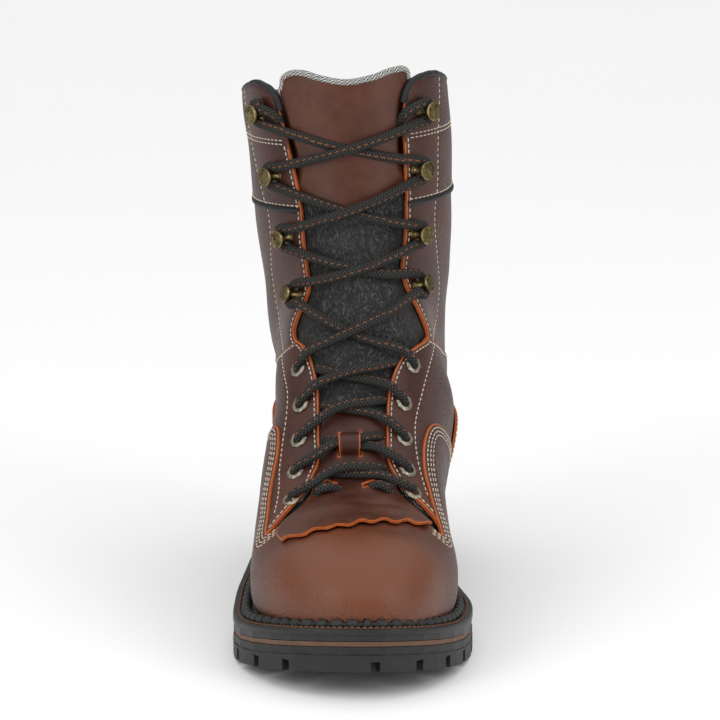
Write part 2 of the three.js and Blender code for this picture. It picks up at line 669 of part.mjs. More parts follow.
// The kiltie lies on the tongue and spreads over the vamp to a scalloped end, with two slits.
const kiltieTop = sectionAtFront(0.42);
const kiltieFoot = 6.2;
const kiltieSpread = { lateral: 0.3, medial: 0.29 };
const scallops = 3;
const kiltieTurn = (s, side) => {
  const spread = 1 - smooth(s, 7.0, 7.7);
  const close = turnAtX(s, throatX(Math.max(s, 8.3), side) - 1, side);
  return lerp(close, turnAtX(s, ballWidth * kiltieSpread[side], side), spread);
};
const kiltieLift = (s) => lerp(vampStep + 0.8, -upperWall - tongueGap + 0.6, smooth(s, 7.65, 8.9));
let kiltie = patchSolid({
  from: kiltieFoot, to: kiltieTop, along: 9, round: 8,
  start: (s) => -kiltieTurn(s, "lateral"), end: (s) => kiltieTurn(s, "medial"),
  inner: kiltieLift, outer: (s) => kiltieLift(s) + overlayPly,
});
for (let k = 0; k <= scallops; k += 1) {
  const share = k / scallops;
  const s = kiltieFoot + 0.9 * (share - 0.45) ** 2;
  const t = lerp(-kiltieTurn(s, "lateral"), kiltieTurn(s, "medial"), share);
  const centre = formOffset(s, t, vampStep + 1);
  const cutter = new THREE.CylinderGeometry(4.5, 4.5, 16, 6);
  cutter.rotateX(Math.PI / 2);
  cutter.rotateX(-0.35);
  cutter.rotateX(Math.PI / 2);
  cutter.translate(centre.x, centre.y - 2.5, centre.z);
  kiltie = kiltie.subtract(solidOf(cutter));
}
addNode("kiltie", kiltie, "overlay");

// A fitting stands on the form with its own Z along the surface's normal.
function standing(geometry, s, t, offset) {
  const turn = new THREE.Quaternion().setFromUnitVectors(
    new THREE.Vector3(0, 0, 1), formNormal(s, t));
  geometry.applyQuaternion(turn);
  const foot = formOffset(s, t, offset);
  geometry.translate(foot.x, foot.y, foot.z);
  return solidOf(geometry);
}
const sideSign = { lateral: -1, medial: 1 };
const rowPlace = (row, side) => {
  const s = sectionAtFront(lacingRows[row][side + "High"]);
  return { s, t: sideSign[side] * turnAtX(s, ballWidth * lacingRows[row][side], side) };
};

const ringProfile = [
  [eyeletHole / 2, 0], [eyeletDiameter / 2, 0],
  [eyeletDiameter / 2 - 0.8, eyeletHeight], [eyeletHole / 2 + 0.4, eyeletHeight],
  [eyeletHole / 2, 0],
];
const hookProfile = [
  [0, 0], [0.42, 0], [0.42, 0.09], [0.2, 0.2], [0.2, 0.56], [0.5, 0.8], [0.5, 0.95], [0, 1],
];
const lathe = (points, sides) => {
  const geometry = new THREE.LatheGeometry(points.map(([r, h]) => new THREE.Vector2(r, h)), sides);
  geometry.rotateX(Math.PI / 2);
  return geometry;
};
for (const side of ["lateral", "medial"]) {
  for (let row = 0; row < lacingRows.length; row += 1) {
    const { s, t } = rowPlace(row, side);
    if (row < eyeletRows) {
      addNode(`eyelet_${side}_${row + 1}`,
        standing(lathe(ringProfile, 8), s, t, quarterStep + seam + 0.35), "steel");
    } else {
      const shape = hookProfile.map(([r, h]) => [r * hookHeadDiameter, h * hookHeight]);
      addNode(`hook_${side}_${lacingRows.length - row}`,
        standing(lathe(shape, 8), s, t, -0.15), "brass");
    }
  }
}

// The lace: a bar over the lowest row, a crossing between each two rows, and two ends.
function cordSolid(points, steps, sides = 6) {
  const shape = new THREE.Shape();
  for (let i = 0; i < sides; i += 1) {
    const turn = (2 * Math.PI * i) / sides;
    const x = (laceDiameter / 2) * Math.cos(turn);
    const y = (laceDiameter / 2) * Math.sin(turn);
    if (i === 0) shape.moveTo(x, y);
    else shape.lineTo(x, y);
  }
  shape.closePath();
  const path = new THREE.CatmullRomCurve3(points, false, "centripetal");
  return solidOf(new THREE.ExtrudeGeometry(shape, {
    steps, bevelEnabled: false, extrudePath: path, curveSegments: 1,
  }));
}
const lacePoint = (s, x, lift) => {
  const side = x < 0 ? "lateral" : "medial";
  const t = Math.sign(x) * turnAtX(s, Math.abs(x), side);
  return formOffset(s, t, lift);
};
const laceRest = (s) => {
  const onKiltie = kiltieLift(s) + overlayPly + seam + laceDiameter / 2;
  return lerp(onKiltie + 0.6, 0.3, smooth(s, kiltieTop - 0.1, kiltieTop + 0.5));
};
function startX(row, side) {
  const { s } = rowPlace(row, side);
  if (row < eyeletRows) return throatX(s, side) + 1.4;
  return ballWidth * lacingRows[row][side] - 0.2 * hookHeadDiameter - laceDiameter / 2 - 0.5;
}
function endX(row, side) {
  const { s } = rowPlace(row, side);
  if (row < eyeletRows) return throatX(s, side) - laceDiameter / 2 - 0.6;
  return startX(row, side);
}
function strand(row, side) {
  const other = side === "lateral" ? "medial" : "lateral";
  const low = rowPlace(row, side).s + (row < eyeletRows ? 0.08 : 0.25);
  const high = rowPlace(row + 1, other).s - (row + 1 < eyeletRows ? 0 : 0.22);
  const lowX = sideSign[side] * startX(row, side);
  const highX = sideSign[other] * endX(row + 1, other);
  const lowLift = Math.max(3.8, laceRest(low) - 0.6);
  const highLift = row + 1 < eyeletRows ? laceRest(high) + 0.3 : 3.8;
  const over = side === "lateral" ? 0.9 : 0.2;
  return cordSolid([
    lacePoint(low, lowX, lowLift),
    lacePoint(lerp(low, high, 0.3), lowX * 0.62, Math.max(laceRest(lerp(low, high, 0.3)) + 1.2, 2.9)),
    lacePoint(lerp(low, high, 0.55), 0.01, laceRest(lerp(low, high, 0.55)) + over),
    lacePoint(lerp(low, high, 0.82), highX * 0.62, laceRest(lerp(low, high, 0.82)) + 0.6),
    lacePoint(high, highX, highLift),
  ], 5);
}
for (let row = 0; row + 1 < lacingRows.length; row += 1) {
  addNode(`lace_cross_${row + 1}`, strand(row, "lateral").add(strand(row, "medial")), "lace");
}
const barAt = rowPlace(0, "medial").s - 0.2;
const barX = throatX(barAt, "medial") - laceDiameter;
addNode("lace_bar", cordSolid([
  lacePoint(barAt, -barX, laceRest(barAt) - 0.2),
  lacePoint(barAt, -barX * 0.4, laceRest(barAt) + 0.2),
  lacePoint(barAt, barX * 0.4, laceRest(barAt) + 0.2),
  lacePoint(barAt, barX, laceRest(barAt) - 0.2),
], 4), "lace");
for (const side of ["lateral", "medial"]) {
  const top = lacingRows.length - 1;
  const { s } = rowPlace(top, side);
  const x = sideSign[side] * ballWidth * lacingRows[top][side];
  const rim = sideSign[side] * (throatX(s, side) - laceDiameter / 2 - 0.7);
  addNode(`lace_end_${side}`, cordSolid([
    lacePoint(s + 0.46, x, 2.55),
    lacePoint(s + 0.46, lerp(x, rim, 0.55), 2.55),
    lacePoint(s + 0.42, rim, 1.3),
    lacePoint(s + 0.3, rim * 0.88, -0.6),
  ], 4, 8), "lace");
}

// The keeper bridges the second crossing.
const keeperFrom = sectionAtFront(0.328);
const keeperTo = sectionAtFront(0.377);
const keeperHalf = 5.5;
const keeperArch = (s) => {
  const share = (s - keeperFrom) / (keeperTo - keeperFrom);
  const foot = kiltieLift(s) + overlayPly + seam;
  return foot + (laceDiameter + 2.2) * Math.sin(Math.PI * clamp(share, 0, 1)) ** 0.4;
};
addNode("lace_keeper", patchSolid({
  from: keeperFrom, to: keeperTo, along: 8, round: 2,
  start: (s) => -turnAtX(s, keeperHalf + 1.7, "lateral"),
  end: (s) => turnAtX(s, keeperHalf - 1.7, "medial"),
  inner: (s) => keeperArch(s) + 0.3, outer: (s) => keeperArch(s) + 0.3 + overlayPly,
}), "overlay");

export default part;
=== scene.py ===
"""A right-foot logger boot: leather panels, lacing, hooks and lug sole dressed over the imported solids.

Lengths in the tables and classes are millimetres; meshes are written in metres.
"""

from __future__ import annotations

import logging
import math
from dataclasses import dataclass, field
from enum import Enum
from typing import Any, Callable, Optional, Sequence, Union

import bpy
import numpy as np
from mathutils import Euler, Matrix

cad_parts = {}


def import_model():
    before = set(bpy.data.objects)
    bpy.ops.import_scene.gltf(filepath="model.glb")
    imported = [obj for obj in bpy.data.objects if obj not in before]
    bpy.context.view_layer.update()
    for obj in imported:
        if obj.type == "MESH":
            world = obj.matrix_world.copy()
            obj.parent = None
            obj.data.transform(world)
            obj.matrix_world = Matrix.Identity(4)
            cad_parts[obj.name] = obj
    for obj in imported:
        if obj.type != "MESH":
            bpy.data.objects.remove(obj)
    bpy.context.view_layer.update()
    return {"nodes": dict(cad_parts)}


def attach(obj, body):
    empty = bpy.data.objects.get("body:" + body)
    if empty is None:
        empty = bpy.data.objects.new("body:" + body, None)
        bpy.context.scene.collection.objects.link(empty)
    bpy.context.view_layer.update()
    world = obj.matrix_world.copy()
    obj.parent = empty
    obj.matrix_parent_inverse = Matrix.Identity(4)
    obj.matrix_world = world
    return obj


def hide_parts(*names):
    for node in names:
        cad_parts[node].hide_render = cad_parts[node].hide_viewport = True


Array = np.ndarray
Number = Union[float, np.ndarray]
Pairs = Sequence[tuple[float, float]]
Colour = tuple[float, float, float]
Lift = Callable[[Array, Array], Array]
LOG = logging.getLogger("boot")
MM = 0.001
TURN = 165.0  # Millimetres round the boot for one unit of turn, for small distances.
BODY = "root"


class Side(Enum):
    """The two sides of the boot, by the sign of x and of a turn."""

    LATERAL = -1
    MEDIAL = 1

    @property
    def word(self) -> str:
        """The side's name as the solids use it."""
        return self.name.lower()


# Tables of the boot's own sizes.

WELT_LINE = [(0, 1.02), (0.18, 1.01), (0.28, 0.965), (0.36, 0.88), (0.435, 0.74), (0.52, 0.565),
             (0.585, 0.47), (0.66, 0.435), (0.74, 0.435), (0.8, 0.475), (0.9, 0.6), (1, 0.765)]

# Share along the boot, medial and lateral half widths in ball widths.
SOLE_EDGE = [(0, -0.012, 0.012), (0.02, 0.175, 0.195), (0.06, 0.279, 0.3), (0.13, 0.333, 0.358),
             (0.22, 0.33, 0.367), (0.32, 0.3, 0.375), (0.42, 0.312, 0.4), (0.52, 0.385, 0.452),
             (0.6, 0.448, 0.485), (0.67, 0.488, 0.493), (0.74, 0.487, 0.492), (0.8, 0.465, 0.475),
             (0.86, 0.423, 0.425), (0.92, 0.348, 0.328), (0.965, 0.255, 0.215),
             (0.99, 0.165, 0.085), (1, 0.052, -0.052)]

SECTION_COLUMNS = ("front_at", "front_high", "back_at", "back_high", "medial", "lateral",
                   "ridge", "widest", "front_square", "back_square")
SECTION_ROWS = [
    (0.9705, 0.1372, 0.9705, 0.1372, 0.0000, 0.0000, 0.0458, 0.55, 2.20, 2.40),
    (0.9656, 0.1643, 0.9656, 0.1083, 0.0917, 0.0917, 0.0450, 0.56, 2.30, 2.60),
    (0.9508, 0.1877, 0.9511, 0.0848, 0.1708, 0.1792, 0.0383, 0.58, 2.40, 3.00),
    (0.9262, 0.2076, 0.9272, None, 0.2292, 0.2417, 0.0300, 0.60, 2.40, 3.40),
    (0.8918, 0.2256, 0.8934, None, 0.2833, 0.3000, 0.0217, 0.61, 2.40, 3.70),
    (0.8475, 0.2383, 0.8508, None, 0.3292, 0.3500, 0.0167, 0.62, 2.30, 3.80),
    (0.7934, 0.2401, 0.7984, None, 0.3733, 0.3900, 0.0133, 0.62, 2.20, 3.80),
    (0.7361, 0.2527, 0.7393, None, 0.3975, 0.4100, 0.0100, 0.60, 2.15, 3.80),
    (0.6836, 0.2852, 0.6738, None, 0.3933, 0.4058, 0.0067, 0.58, 2.10, 3.70),
    (0.6311, 0.3303, 0.6049, None, 0.3792, 0.3958, 0.0042, 0.56, 2.10, 3.60),
    (0.5803, 0.3899, 0.5328, None, 0.3633, 0.3833, 0.0042, 0.55, 2.10, 3.50),
    (0.5344, 0.4567, 0.4541, None, 0.3633, 0.3767, 0.0042, 0.55, 2.10, 3.40),
    (0.5000, 0.5217, 0.3623, None, 0.3733, 0.3750, 0.0042, 0.55, 2.10, 3.30),
    (0.4787, 0.5776, 0.2574, None, 0.3767, 0.3750, 0.0042, 0.54, 2.10, 3.20),
    (0.4656, 0.6227, 0.1525, None, 0.3700, 0.3700, 0.0025, 0.53, 2.10, 3.10),
    (0.4557, 0.6588, 0.0607, 0.1318, 0.3658, 0.3658, 0.0000, 0.52, 2.10, 2.90),
    (0.4492, 0.6877, 0.0197, 0.1769, 0.3700, 0.3717, 0.0000, 0.52, 2.10, 2.70),
    (0.4443, 0.7148, 0.0098, 0.2599, 0.3867, 0.3917, 0.0000, 0.51, 2.10, 2.50),
    (0.4393, 0.7437, 0.0180, 0.3538, 0.4000, 0.4067, 0.0000, 0.50, 2.10, 2.40),
    (0.4344, 0.7780, 0.0262, 0.4477, 0.4117, 0.4167, 0.0000, 0.50, 2.15, 2.30),
    (0.4311, 0.8177, 0.0361, 0.5523, 0.4267, 0.4267, 0.0000, 0.50, 2.20, 2.25),
    (0.4279, 0.8610, 0.0344, 0.6643, 0.4367, 0.4350, 0.0000, 0.50, 2.20, 2.20),
    (0.4262, 0.9079, 0.0279, 0.7690, 0.4433, 0.4400, 0.0000, 0.50, 2.20, 2.20),
    (0.4262, 0.9549, 0.0230, 0.8484, 0.4417, 0.4517, 0.0000, 0.50, 2.20, 2.20),
    (0.4262, 1.0000, 0.0213, 0.9097, 0.4383, 0.4550, 0.0000, 0.50, 2.20, 2.20),
]

# Height of the front line, lateral and medial half width of the open throat.
THROAT_EDGE = [(0.272, 0.05, 0.05), (0.28, 0.14, 0.14), (0.297, 0.172, 0.172), (0.325, 0.15, 0.143),
               (0.378, 0.15, 0.136), (0.45, 0.158, 0.15), (0.5, 0.19, 0.185), (0.545, 0.235, 0.25),
               (0.585, 0.28, 0.295), (0.612, 0.275, 0.3), (0.635, 0.216, 0.225), (0.66, 0.212, 0.205),
               (0.7, 0.22, 0.22), (0.77, 0.222, 0.235), (0.85, 0.249, 0.238), (0.895, 0.272, 0.242),
               (0.941, 0.296, 0.256), (0.971, 0.318, 0.285), (0.989, 0.351, 0.33), (1.01, 0.385, 0.385)]

# Lateral height and place, medial height and place of each lacing row, from the vamp up.
LACING_ROWS = [(0.287, 0.259, 0.295, 0.238), (0.326, 0.24, 0.326, 0.217), (0.376, 0.228, 0.375, 0.205),
               (0.434, 0.222, 0.434, 0.203), (0.504, 0.24, 0.508, 0.234), (0.648, 0.252, 0.655, 0.252),
               (0.74, 0.281, 0.73, 0.262), (0.835, 0.316, 0.826, 0.284), (0.943, 0.357, 0.924, 0.318)]
EYELET_ROWS = 5

# Side-view outlines: share along the boot, height in collar heights.
QUARTER_TOP = {
    Side.LATERAL: [(-0.1, 0.405), (0.05, 0.404), (0.1, 0.402), (0.184, 0.406), (0.3, 0.43), (0.36, 0.447),
                   (0.409, 0.466), (0.44, 0.485), (0.46, 0.501), (0.474, 0.507), (0.49, 0.515),
                   (0.56, 0.56), (1.2, 0.56), (1.2, -0.2), (-0.1, -0.2)],
    Side.MEDIAL: [(-0.1, 0.405), (0.05, 0.404), (0.1, 0.404), (0.173, 0.413), (0.27, 0.44), (0.359, 0.469),
                  (0.4, 0.485), (0.429, 0.498), (0.458, 0.511), (0.484, 0.52), (0.51, 0.53),
                  (0.56, 0.56), (1.2, 0.56), (1.2, -0.2), (-0.1, -0.2)],
}
VAMP_FRONT = [(0.722, 0.206), (0.73, 0.21), (0.728, 0.4), (1.2, 0.4), (1.2, -0.2), (0.305, -0.2)]
VAMP_EDGE = {
    Side.LATERAL: [(0.305, 0.1), (0.316, 0.15), (0.335, 0.2), (0.37, 0.25), (0.42, 0.292), (0.46, 0.32),
                   (0.495, 0.342), (0.515, 0.353), (0.535, 0.351), (0.562, 0.329), (0.586, 0.303),
                   (0.609, 0.277), (0.641, 0.249), (0.671, 0.229), (0.7, 0.213), *VAMP_FRONT],
    Side.MEDIAL: [(0.305, 0.1), (0.316, 0.15), (0.335, 0.2), (0.37, 0.252), (0.419, 0.298), (0.455, 0.325),
                  (0.485, 0.346), (0.507, 0.355), (0.525, 0.355), (0.545, 0.347), (0.573, 0.328),
                  (0.597, 0.308), (0.619, 0.287), (0.64, 0.265), (0.664, 0.245), (0.686, 0.228),
                  (0.707, 0.214), *VAMP_FRONT],
}
COUNTER_SIDE = [(-0.1, 0.33), (0.1, 0.336), (0.2, 0.338), (0.3, 0.338), (0.34, 0.33), (0.362, 0.31),
                (0.366, 0.275), (0.352, 0.23), (0.33, 0.17), (0.318, 0.1), (0.318, -0.2), (-0.1, -0.2)]
COUNTER_EDGE = {Side.LATERAL: COUNTER_SIDE, Side.MEDIAL: COUNTER_SIDE}

# Section number and turn of the quarters' front edges, where they spread to the vamp.
FLARE = {
    Side.LATERAL: [(6.8, 0.42), (7.15, 0.345), (7.32, 0.312), (7.5, 0.262), (7.75, 0.215), (8.0, 0.18),
                   (8.4, 0.145), (8.8, 0.135)],
    Side.MEDIAL: [(7.2, 0.42), (7.55, 0.35), (7.74, 0.318), (7.87, 0.272), (8.02, 0.222), (8.2, 0.182),
                  (8.5, 0.146), (8.9, 0.132)],
}

# Section number and turn of the kiltie's sides.
KILTIE_SIDE = {
    Side.LATERAL: [(5.0, 0.250), (6.0, 0.254), (6.8, 0.256), (7.1, 0.235), (7.4, 0.190), (7.75, 0.158),
                   (8.2, 0.145), (8.8, 0.140), (9.6, 0.140), (10.6, 0.140)],
    Side.MEDIAL: [(5.0, 0.262), (7.0, 0.258), (7.4, 0.243), (7.65, 0.218), (7.9, 0.178), (8.2, 0.150),
                  (8.6, 0.142), (9.0, 0.140), (9.6, 0.140), (10.6, 0.140)],
}

# Section number and turn of the outer stitch row of each facing.
OUTER_ROW = {
    Side.LATERAL: [(7.4, 0.296), (7.87, 0.289), (8.84, 0.273), (9.42, 0.279), (10.09, 0.276),
                   (10.8, 0.264), (11.38, 0.266), (12.14, 0.293), (15.25, 0.367), (17.6, 0.364),
                   (18.41, 0.338), (19.44, 0.325), (20.28, 0.337), (21.35, 0.367), (22.06, 0.392),
                   (23.1, 0.395), (23.97, 0.395)],
    Side.MEDIAL: [(7.4, 0.33), (8.11, 0.295), (8.77, 0.262), (9.45, 0.24), (10.26, 0.237),
                  (11.24, 0.262), (12.01, 0.28), (13.61, 0.324), (16.37, 0.381), (17.32, 0.358),
                  (18.64, 0.32), (20.6, 0.316), (21.74, 0.319), (23.64, 0.35)],
}

# Turn and section number along the kiltie's scalloped end.
SCALLOPS = [(-0.30, 5.95), (-0.256, 5.84), (-0.232, 5.88), (-0.212, 5.72), (-0.189, 5.42), (-0.17, 5.36),
            (-0.152, 5.52), (-0.134, 5.62), (-0.117, 5.5), (-0.099, 5.38), (-0.081, 5.5), (-0.064, 5.68),
            (-0.047, 5.62), (-0.029, 5.52), (-0.012, 5.66), (0.006, 5.9), (0.024, 5.96), (0.042, 5.86),
            (0.06, 5.92), (0.078, 6.16), (0.096, 6.26), (0.114, 6.18), (0.132, 6.24), (0.15, 6.48),
            (0.168, 6.62), (0.188, 6.58), (0.208, 6.7), (0.237, 7.0), (0.3, 7.25)]

# Soft troughs (negative) and ridges of worn leather: from and to as section and turn, height, width.
CREASES = [
    (11.0, 0.26, 12.6, 0.62, -0.55, 5.0), (12.2, 0.31, 13.9, 0.66, 0.45, 6.0),
    (13.4, 0.34, 15.2, 0.70, -0.5, 5.5), (11.2, -0.28, 12.8, -0.60, -0.5, 5.0),
    (12.6, -0.33, 14.4, -0.68, 0.45, 6.0), (13.9, -0.36, 15.6, -0.72, -0.5, 5.5),
    (8.6, 0.30, 8.2, 0.46, -0.45, 5.0), (8.4, -0.32, 8.1, -0.48, -0.45, 5.0),
    (17.6, 0.42, 18.2, 0.86, -0.5, 7.0), (17.9, -0.44, 18.4, -0.84, -0.5, 7.0),
    (19.6, 0.40, 20.0, 0.76, 0.5, 8.0), (19.9, -0.42, 20.3, -0.8, 0.5, 8.0),
    (22.2, 0.45, 22.4, 0.9, -0.4, 7.0), (22.4, -0.46, 22.6, -0.86, -0.4, 7.0),
    (7.3, 0.12, 6.9, 0.34, 0.35, 6.0), (7.2, -0.14, 6.8, -0.34, 0.35, 6.0),
]


# The boot's form.

def smooth(value: Array, low: float, high: float) -> Array:
    """A smooth step from 0 at low to 1 at high."""
    u = np.clip((np.asarray(value, float) - low) / (high - low), 0, 1)
    return u * u * (3 - 2 * u)


def bell(distance: Array, width: float) -> Array:
    """A bell curve of the given half width."""
    return np.exp(-((distance / width) ** 2))


class Curve:
    """A smooth curve through a table's rows, straight beyond its ends."""

    def __init__(self, xs: Sequence[float], ys: Sequence[float],
                 warp: Optional[Callable[[Array], Array]] = None) -> None:
        """Keeps the knots."""
        self.warp = warp or (lambda value: value)
        self.xs = self.warp(np.asarray(xs, float))
        self.ys = np.asarray(ys, float)
        gaps = np.diff(self.xs)
        slopes = np.diff(self.ys) / gaps
        inner = (slopes[:-1] * gaps[1:] + slopes[1:] * gaps[:-1]) / (gaps[:-1] + gaps[1:])
        self.tangents = np.concatenate(([slopes[0]], inner, [slopes[-1]]))

    def __call__(self, value: Number) -> Array:
        """The curve's value at a place."""
        x = self.warp(np.asarray(value, float))
        i = np.clip(np.searchsorted(self.xs, x, side="left") - 1, 0, len(self.xs) - 2)
        span = self.xs[i + 1] - self.xs[i]
        u = np.clip((x - self.xs[i]) / span, 0, 1)
        u2, u3 = u * u, u * u * u
        made = ((2 * u3 - 3 * u2 + 1) * self.ys[i] + (u3 - 2 * u2 + u) * self.tangents[i] * span
                + (3 * u2 - 2 * u3) * self.ys[i + 1] + (u3 - u2) * self.tangents[i + 1] * span)
        made = made + np.minimum(x - self.xs[0], 0) * self.tangents[0]
        return made + np.maximum(x - self.xs[-1], 0) * self.tangents[-1]


@dataclass
class Form:
    """The upper's outer form and the sole's edge, from the boot's named sizes."""

    length: float = 305.0
    ball: float = 120.0
    collar: float = 277.0
    seat: float = 46.0
    lean: float = 3.3
    dip: float = 3.5
    ankle_shift: float = 5.2
    wall: float = 2.2
    quarter_step: float = 1.0
    vamp_lift: float = 2.4
    overlay: float = 1.6
    tongue_ply: float = 2.8
    tongue_gap: float = 1.2
    seam: float = 0.3
    last: int = field(init=False)

    def __post_init__(self) -> None:
        """Works out the section curves."""
        self.last = len(SECTION_ROWS) - 1
        at, high = zip(*WELT_LINE)
        self.welt_high = Curve(at, high)
        rows = [list(row) for row in SECTION_ROWS]
        for row in rows:
            if row[3] is None:
                y = self.y_of(row[2])
                row[3] = float(self.welt_z(y) - 4 - 9 * smooth(row[2], 0.75, 0.3)) / self.collar
        mirrored = list(rows[1])
        mirrored[4], mirrored[5] = -rows[1][4], -rows[1][5]
        for column in (1, 3):
            mirrored[column] = 2 * rows[0][column] - rows[1][column]
        table = np.array([mirrored, *rows], float)
        index = np.arange(-1, self.last + 1)
        self.sections = {name: Curve(index, table[:, k]) for k, name in enumerate(SECTION_COLUMNS)}
        high, lateral, medial = zip(*THROAT_EDGE)
        self.throat_half = {Side.LATERAL: Curve(high, lateral), Side.MEDIAL: Curve(high, medial)}
        self.flare = {side: Curve(*zip(*FLARE[side])) for side in Side}
        at, medial, lateral = zip(*SOLE_EDGE)
        self.edge_half = {Side.LATERAL: Curve(at, lateral, self.edge_warp),
                          Side.MEDIAL: Curve(at, medial, self.edge_warp)}

    @staticmethod
    def edge_warp(at: Array) -> Array:
        """Spreads the places at the heel's back and the toe's tip."""
        return np.arccos(np.clip(1 - 2 * np.asarray(at, float), -1, 1))

    def y_of(self, at: Number) -> Number:
        """The y of a share along the boot."""
        return self.length * (0.5 - at)

    def welt_z(self, y: Number) -> Array:
        """The height of the welt's upper face."""
        return self.seat * self.welt_high(np.clip(0.5 - np.asarray(y, float) / self.length, 0, 1))

    def lean_at(self, z: Array) -> Array:
        """The shaft's sideways lean at a height."""
        rise = z / self.collar
        shear = math.tan(math.radians(self.lean)) * self.collar
        return -shear * (rise - 0.7) * smooth(rise, 0.42, 0.6)

    def ankle_at(self, y: Array, z: Array) -> Array:
        """The sideways shift of the ankle."""
        rise = z / self.collar
        bulge = smooth(rise, 0.16, 0.33) * (1 - smooth(rise, 0.34, 0.55))
        return self.ankle_shift * bulge * smooth(y, -0.06 * self.length, 0.15 * self.length)

    def point(self, s: Array, t: Array) -> Array:
        """Points of the form.

        Args:
            s: section numbers.
            t: turns, 0 on the front ridge and 1 or -1 at the back.

        Returns:
            Points in millimetres, with the last axis x, y, z.
        """
        s, t = np.broadcast_arrays(np.asarray(s, float), np.asarray(t, float))
        turn = (t + 1) % 2 - 1
        c = {name: curve(s) for name, curve in self.sections.items()}
        angle = np.pi * np.abs(turn)
        power = np.where(angle < np.pi / 2, c["front_square"], c["back_square"])
        cos, sin = np.cos(angle), np.sin(angle)
        reach = (np.abs(cos) ** power + np.abs(sin) ** power) ** (-1 / power)
        widest = c["widest"]
        share = np.where(cos > 0, widest * (1 - reach * cos), widest - (1 - widest) * reach * cos)
        half = self.ball * np.where(turn > 0, c["medial"], c["lateral"]) * reach * sin
        front, back = self.y_of(c["front_at"]), self.y_of(c["back_at"])
        y = front + (back - front) * share
        z = self.collar * (c["front_high"] + (c["back_high"] - c["front_high"]) * share)
        z = z - self.dip * 4 * share * (1 - share) * smooth(s, self.last - 3, self.last)
        x = self.ball * c["ridge"] + np.where(turn > 0, half, -half)
        z = z + x * math.tan(math.radians(self.lean)) * smooth(z / self.collar, 0.4, 0.65)
        x = x + self.lean_at(z) + self.ankle_at(y, z)
        return np.stack([x, y, z], -1)

    def normal(self, s: Array, t: Array) -> Array:
        """Outward unit normals of the form.

        Args:
            s: section numbers.
            t: turns, 0 in front.

        Returns:
            The outward normals.
        """
        at = np.maximum(np.asarray(s, float), 0.04)
        along = self.point(at + 0.02, t) - self.point(at - 0.02, t)
        around = self.point(at, np.asarray(t) + 0.004) - self.point(at, np.asarray(t) - 0.004)
        made = np.cross(around, along)
        return made / np.linalg.norm(made, axis=-1, keepdims=True)

    def offset(self, s: Array, t: Array, lift: Number) -> Array:
        """Points at a distance outside the form."""
        return self.point(s, t) + self.normal(s, t) * np.asarray(lift, float)[..., None]

    def section_at_front(self, high: float) -> float:
        """The section whose front point stands at a share of the collar's height."""
        low, top = 5.0, self.last + 1.0
        for _ in range(40):
            middle = (low + top) / 2
            if self.sections["front_high"](middle) < high:
                low = middle
            else:
                top = middle
        return low

    def turn_at_x(self, s: Array, x: Array, side: Side) -> Array:
        """The turn at a distance from the long axis on the front of a section, without its sign.

        Args:
            s: section numbers.
            x: place across, in mm.
            side: the boot's side.

        Returns:
            The turn.
        """
        half = self.ball * self.sections[side.word](s)
        power = self.sections["front_square"](s)
        share = np.clip(np.asarray(x, float) / half, 0, 0.999)
        return np.arctan2(share, (1 - share ** power) ** (1 / power)) / np.pi

    def throat_x(self, s: Array, side: Side) -> Array:
        """The open throat's half width on one side."""
        return self.ball * self.throat_half[side](self.sections["front_high"](s))

    def throat_turn(self, s: Array, side: Side, more: float = 0.0) -> Array:
        """The turn of the throat's edge, moved outward by some millimetres."""
        return self.turn_at_x(s, self.throat_x(s, side) + more, side)

    def edge_turn(self, s: Array, side: Side) -> Array:
        """The turn of the quarter's front edge, with its spread at the vamp."""
        join = smooth(s, 8.1, 8.8)
        spread = self.flare[side](s)
        return spread + (self.throat_turn(np.maximum(s, 8.0), side) - spread) * join

    def front_place(self, x: float, z: float) -> tuple[float, float]:
        """Section and turn on the front of the form at a place given by x and z.

        Args:
            x: place across, in mm.
            z: height, in mm.

        Returns:
            The section number and the turn.
        """
        shift, s, t = 0.0, 0.0, 0.0
        for _ in range(3):
            side = Side.MEDIAL if x > shift else Side.LATERAL
            low, top = 5.0, self.last + 0.6
            for _ in range(20):
                s = (low + top) / 2
                t = side.value * float(self.turn_at_x(s, abs(x - shift), side))
                low, top = (s, top) if self.point(s, t)[2] < z else (low, s)
            shift += float(self.point(s, t)[0]) - x
        return s, t

    def edge_point(self, side: Side, at: Array, inset: Number = 0.0) -> Array:
        """Points of the sole's edge in plan, pulled in by an inset.

        Args:
            side: the boot's side.
            at: share of the way.
            inset: distance inside the edge.

        Returns:
            The points.
        """
        def place(share: Array) -> Array:
            """The edge at a share along the boot."""
            share = np.clip(share, 0, 1)
            return np.stack([side.value * self.ball * self.edge_half[side](share),
                             self.y_of(share)], -1)
        run = place(at + 0.002) - place(at - 0.002)
        run = run / np.linalg.norm(run, axis=-1, keepdims=True)
        outward = np.stack([-side.value * run[..., 1], side.value * run[..., 0]], -1)
        return place(at) - outward * np.asarray(inset, float)[..., None]

    def sole_loop(self, inset: Union[float, Callable[[Array], Array]], count: int = 170) -> Array:
        """The sole's edge as one closed loop in plan, from the heel round the lateral side.

        Args:
            inset: how far it is pulled in, as a number or a function of the share along the boot.
            count: points on each side.

        Returns:
            Points in plan.
        """
        at = (1 - np.cos(np.linspace(0, np.pi, count))) / 2
        deep = inset(at) if callable(inset) else inset + 0 * at
        lateral = self.edge_point(Side.LATERAL, at, deep)
        medial = self.edge_point(Side.MEDIAL, at, deep)[::-1]
        loop = np.concatenate([lateral, medial])
        step = np.linalg.norm(np.roll(loop, -1, 0) - loop, axis=1)
        return loop[step > 0.3]

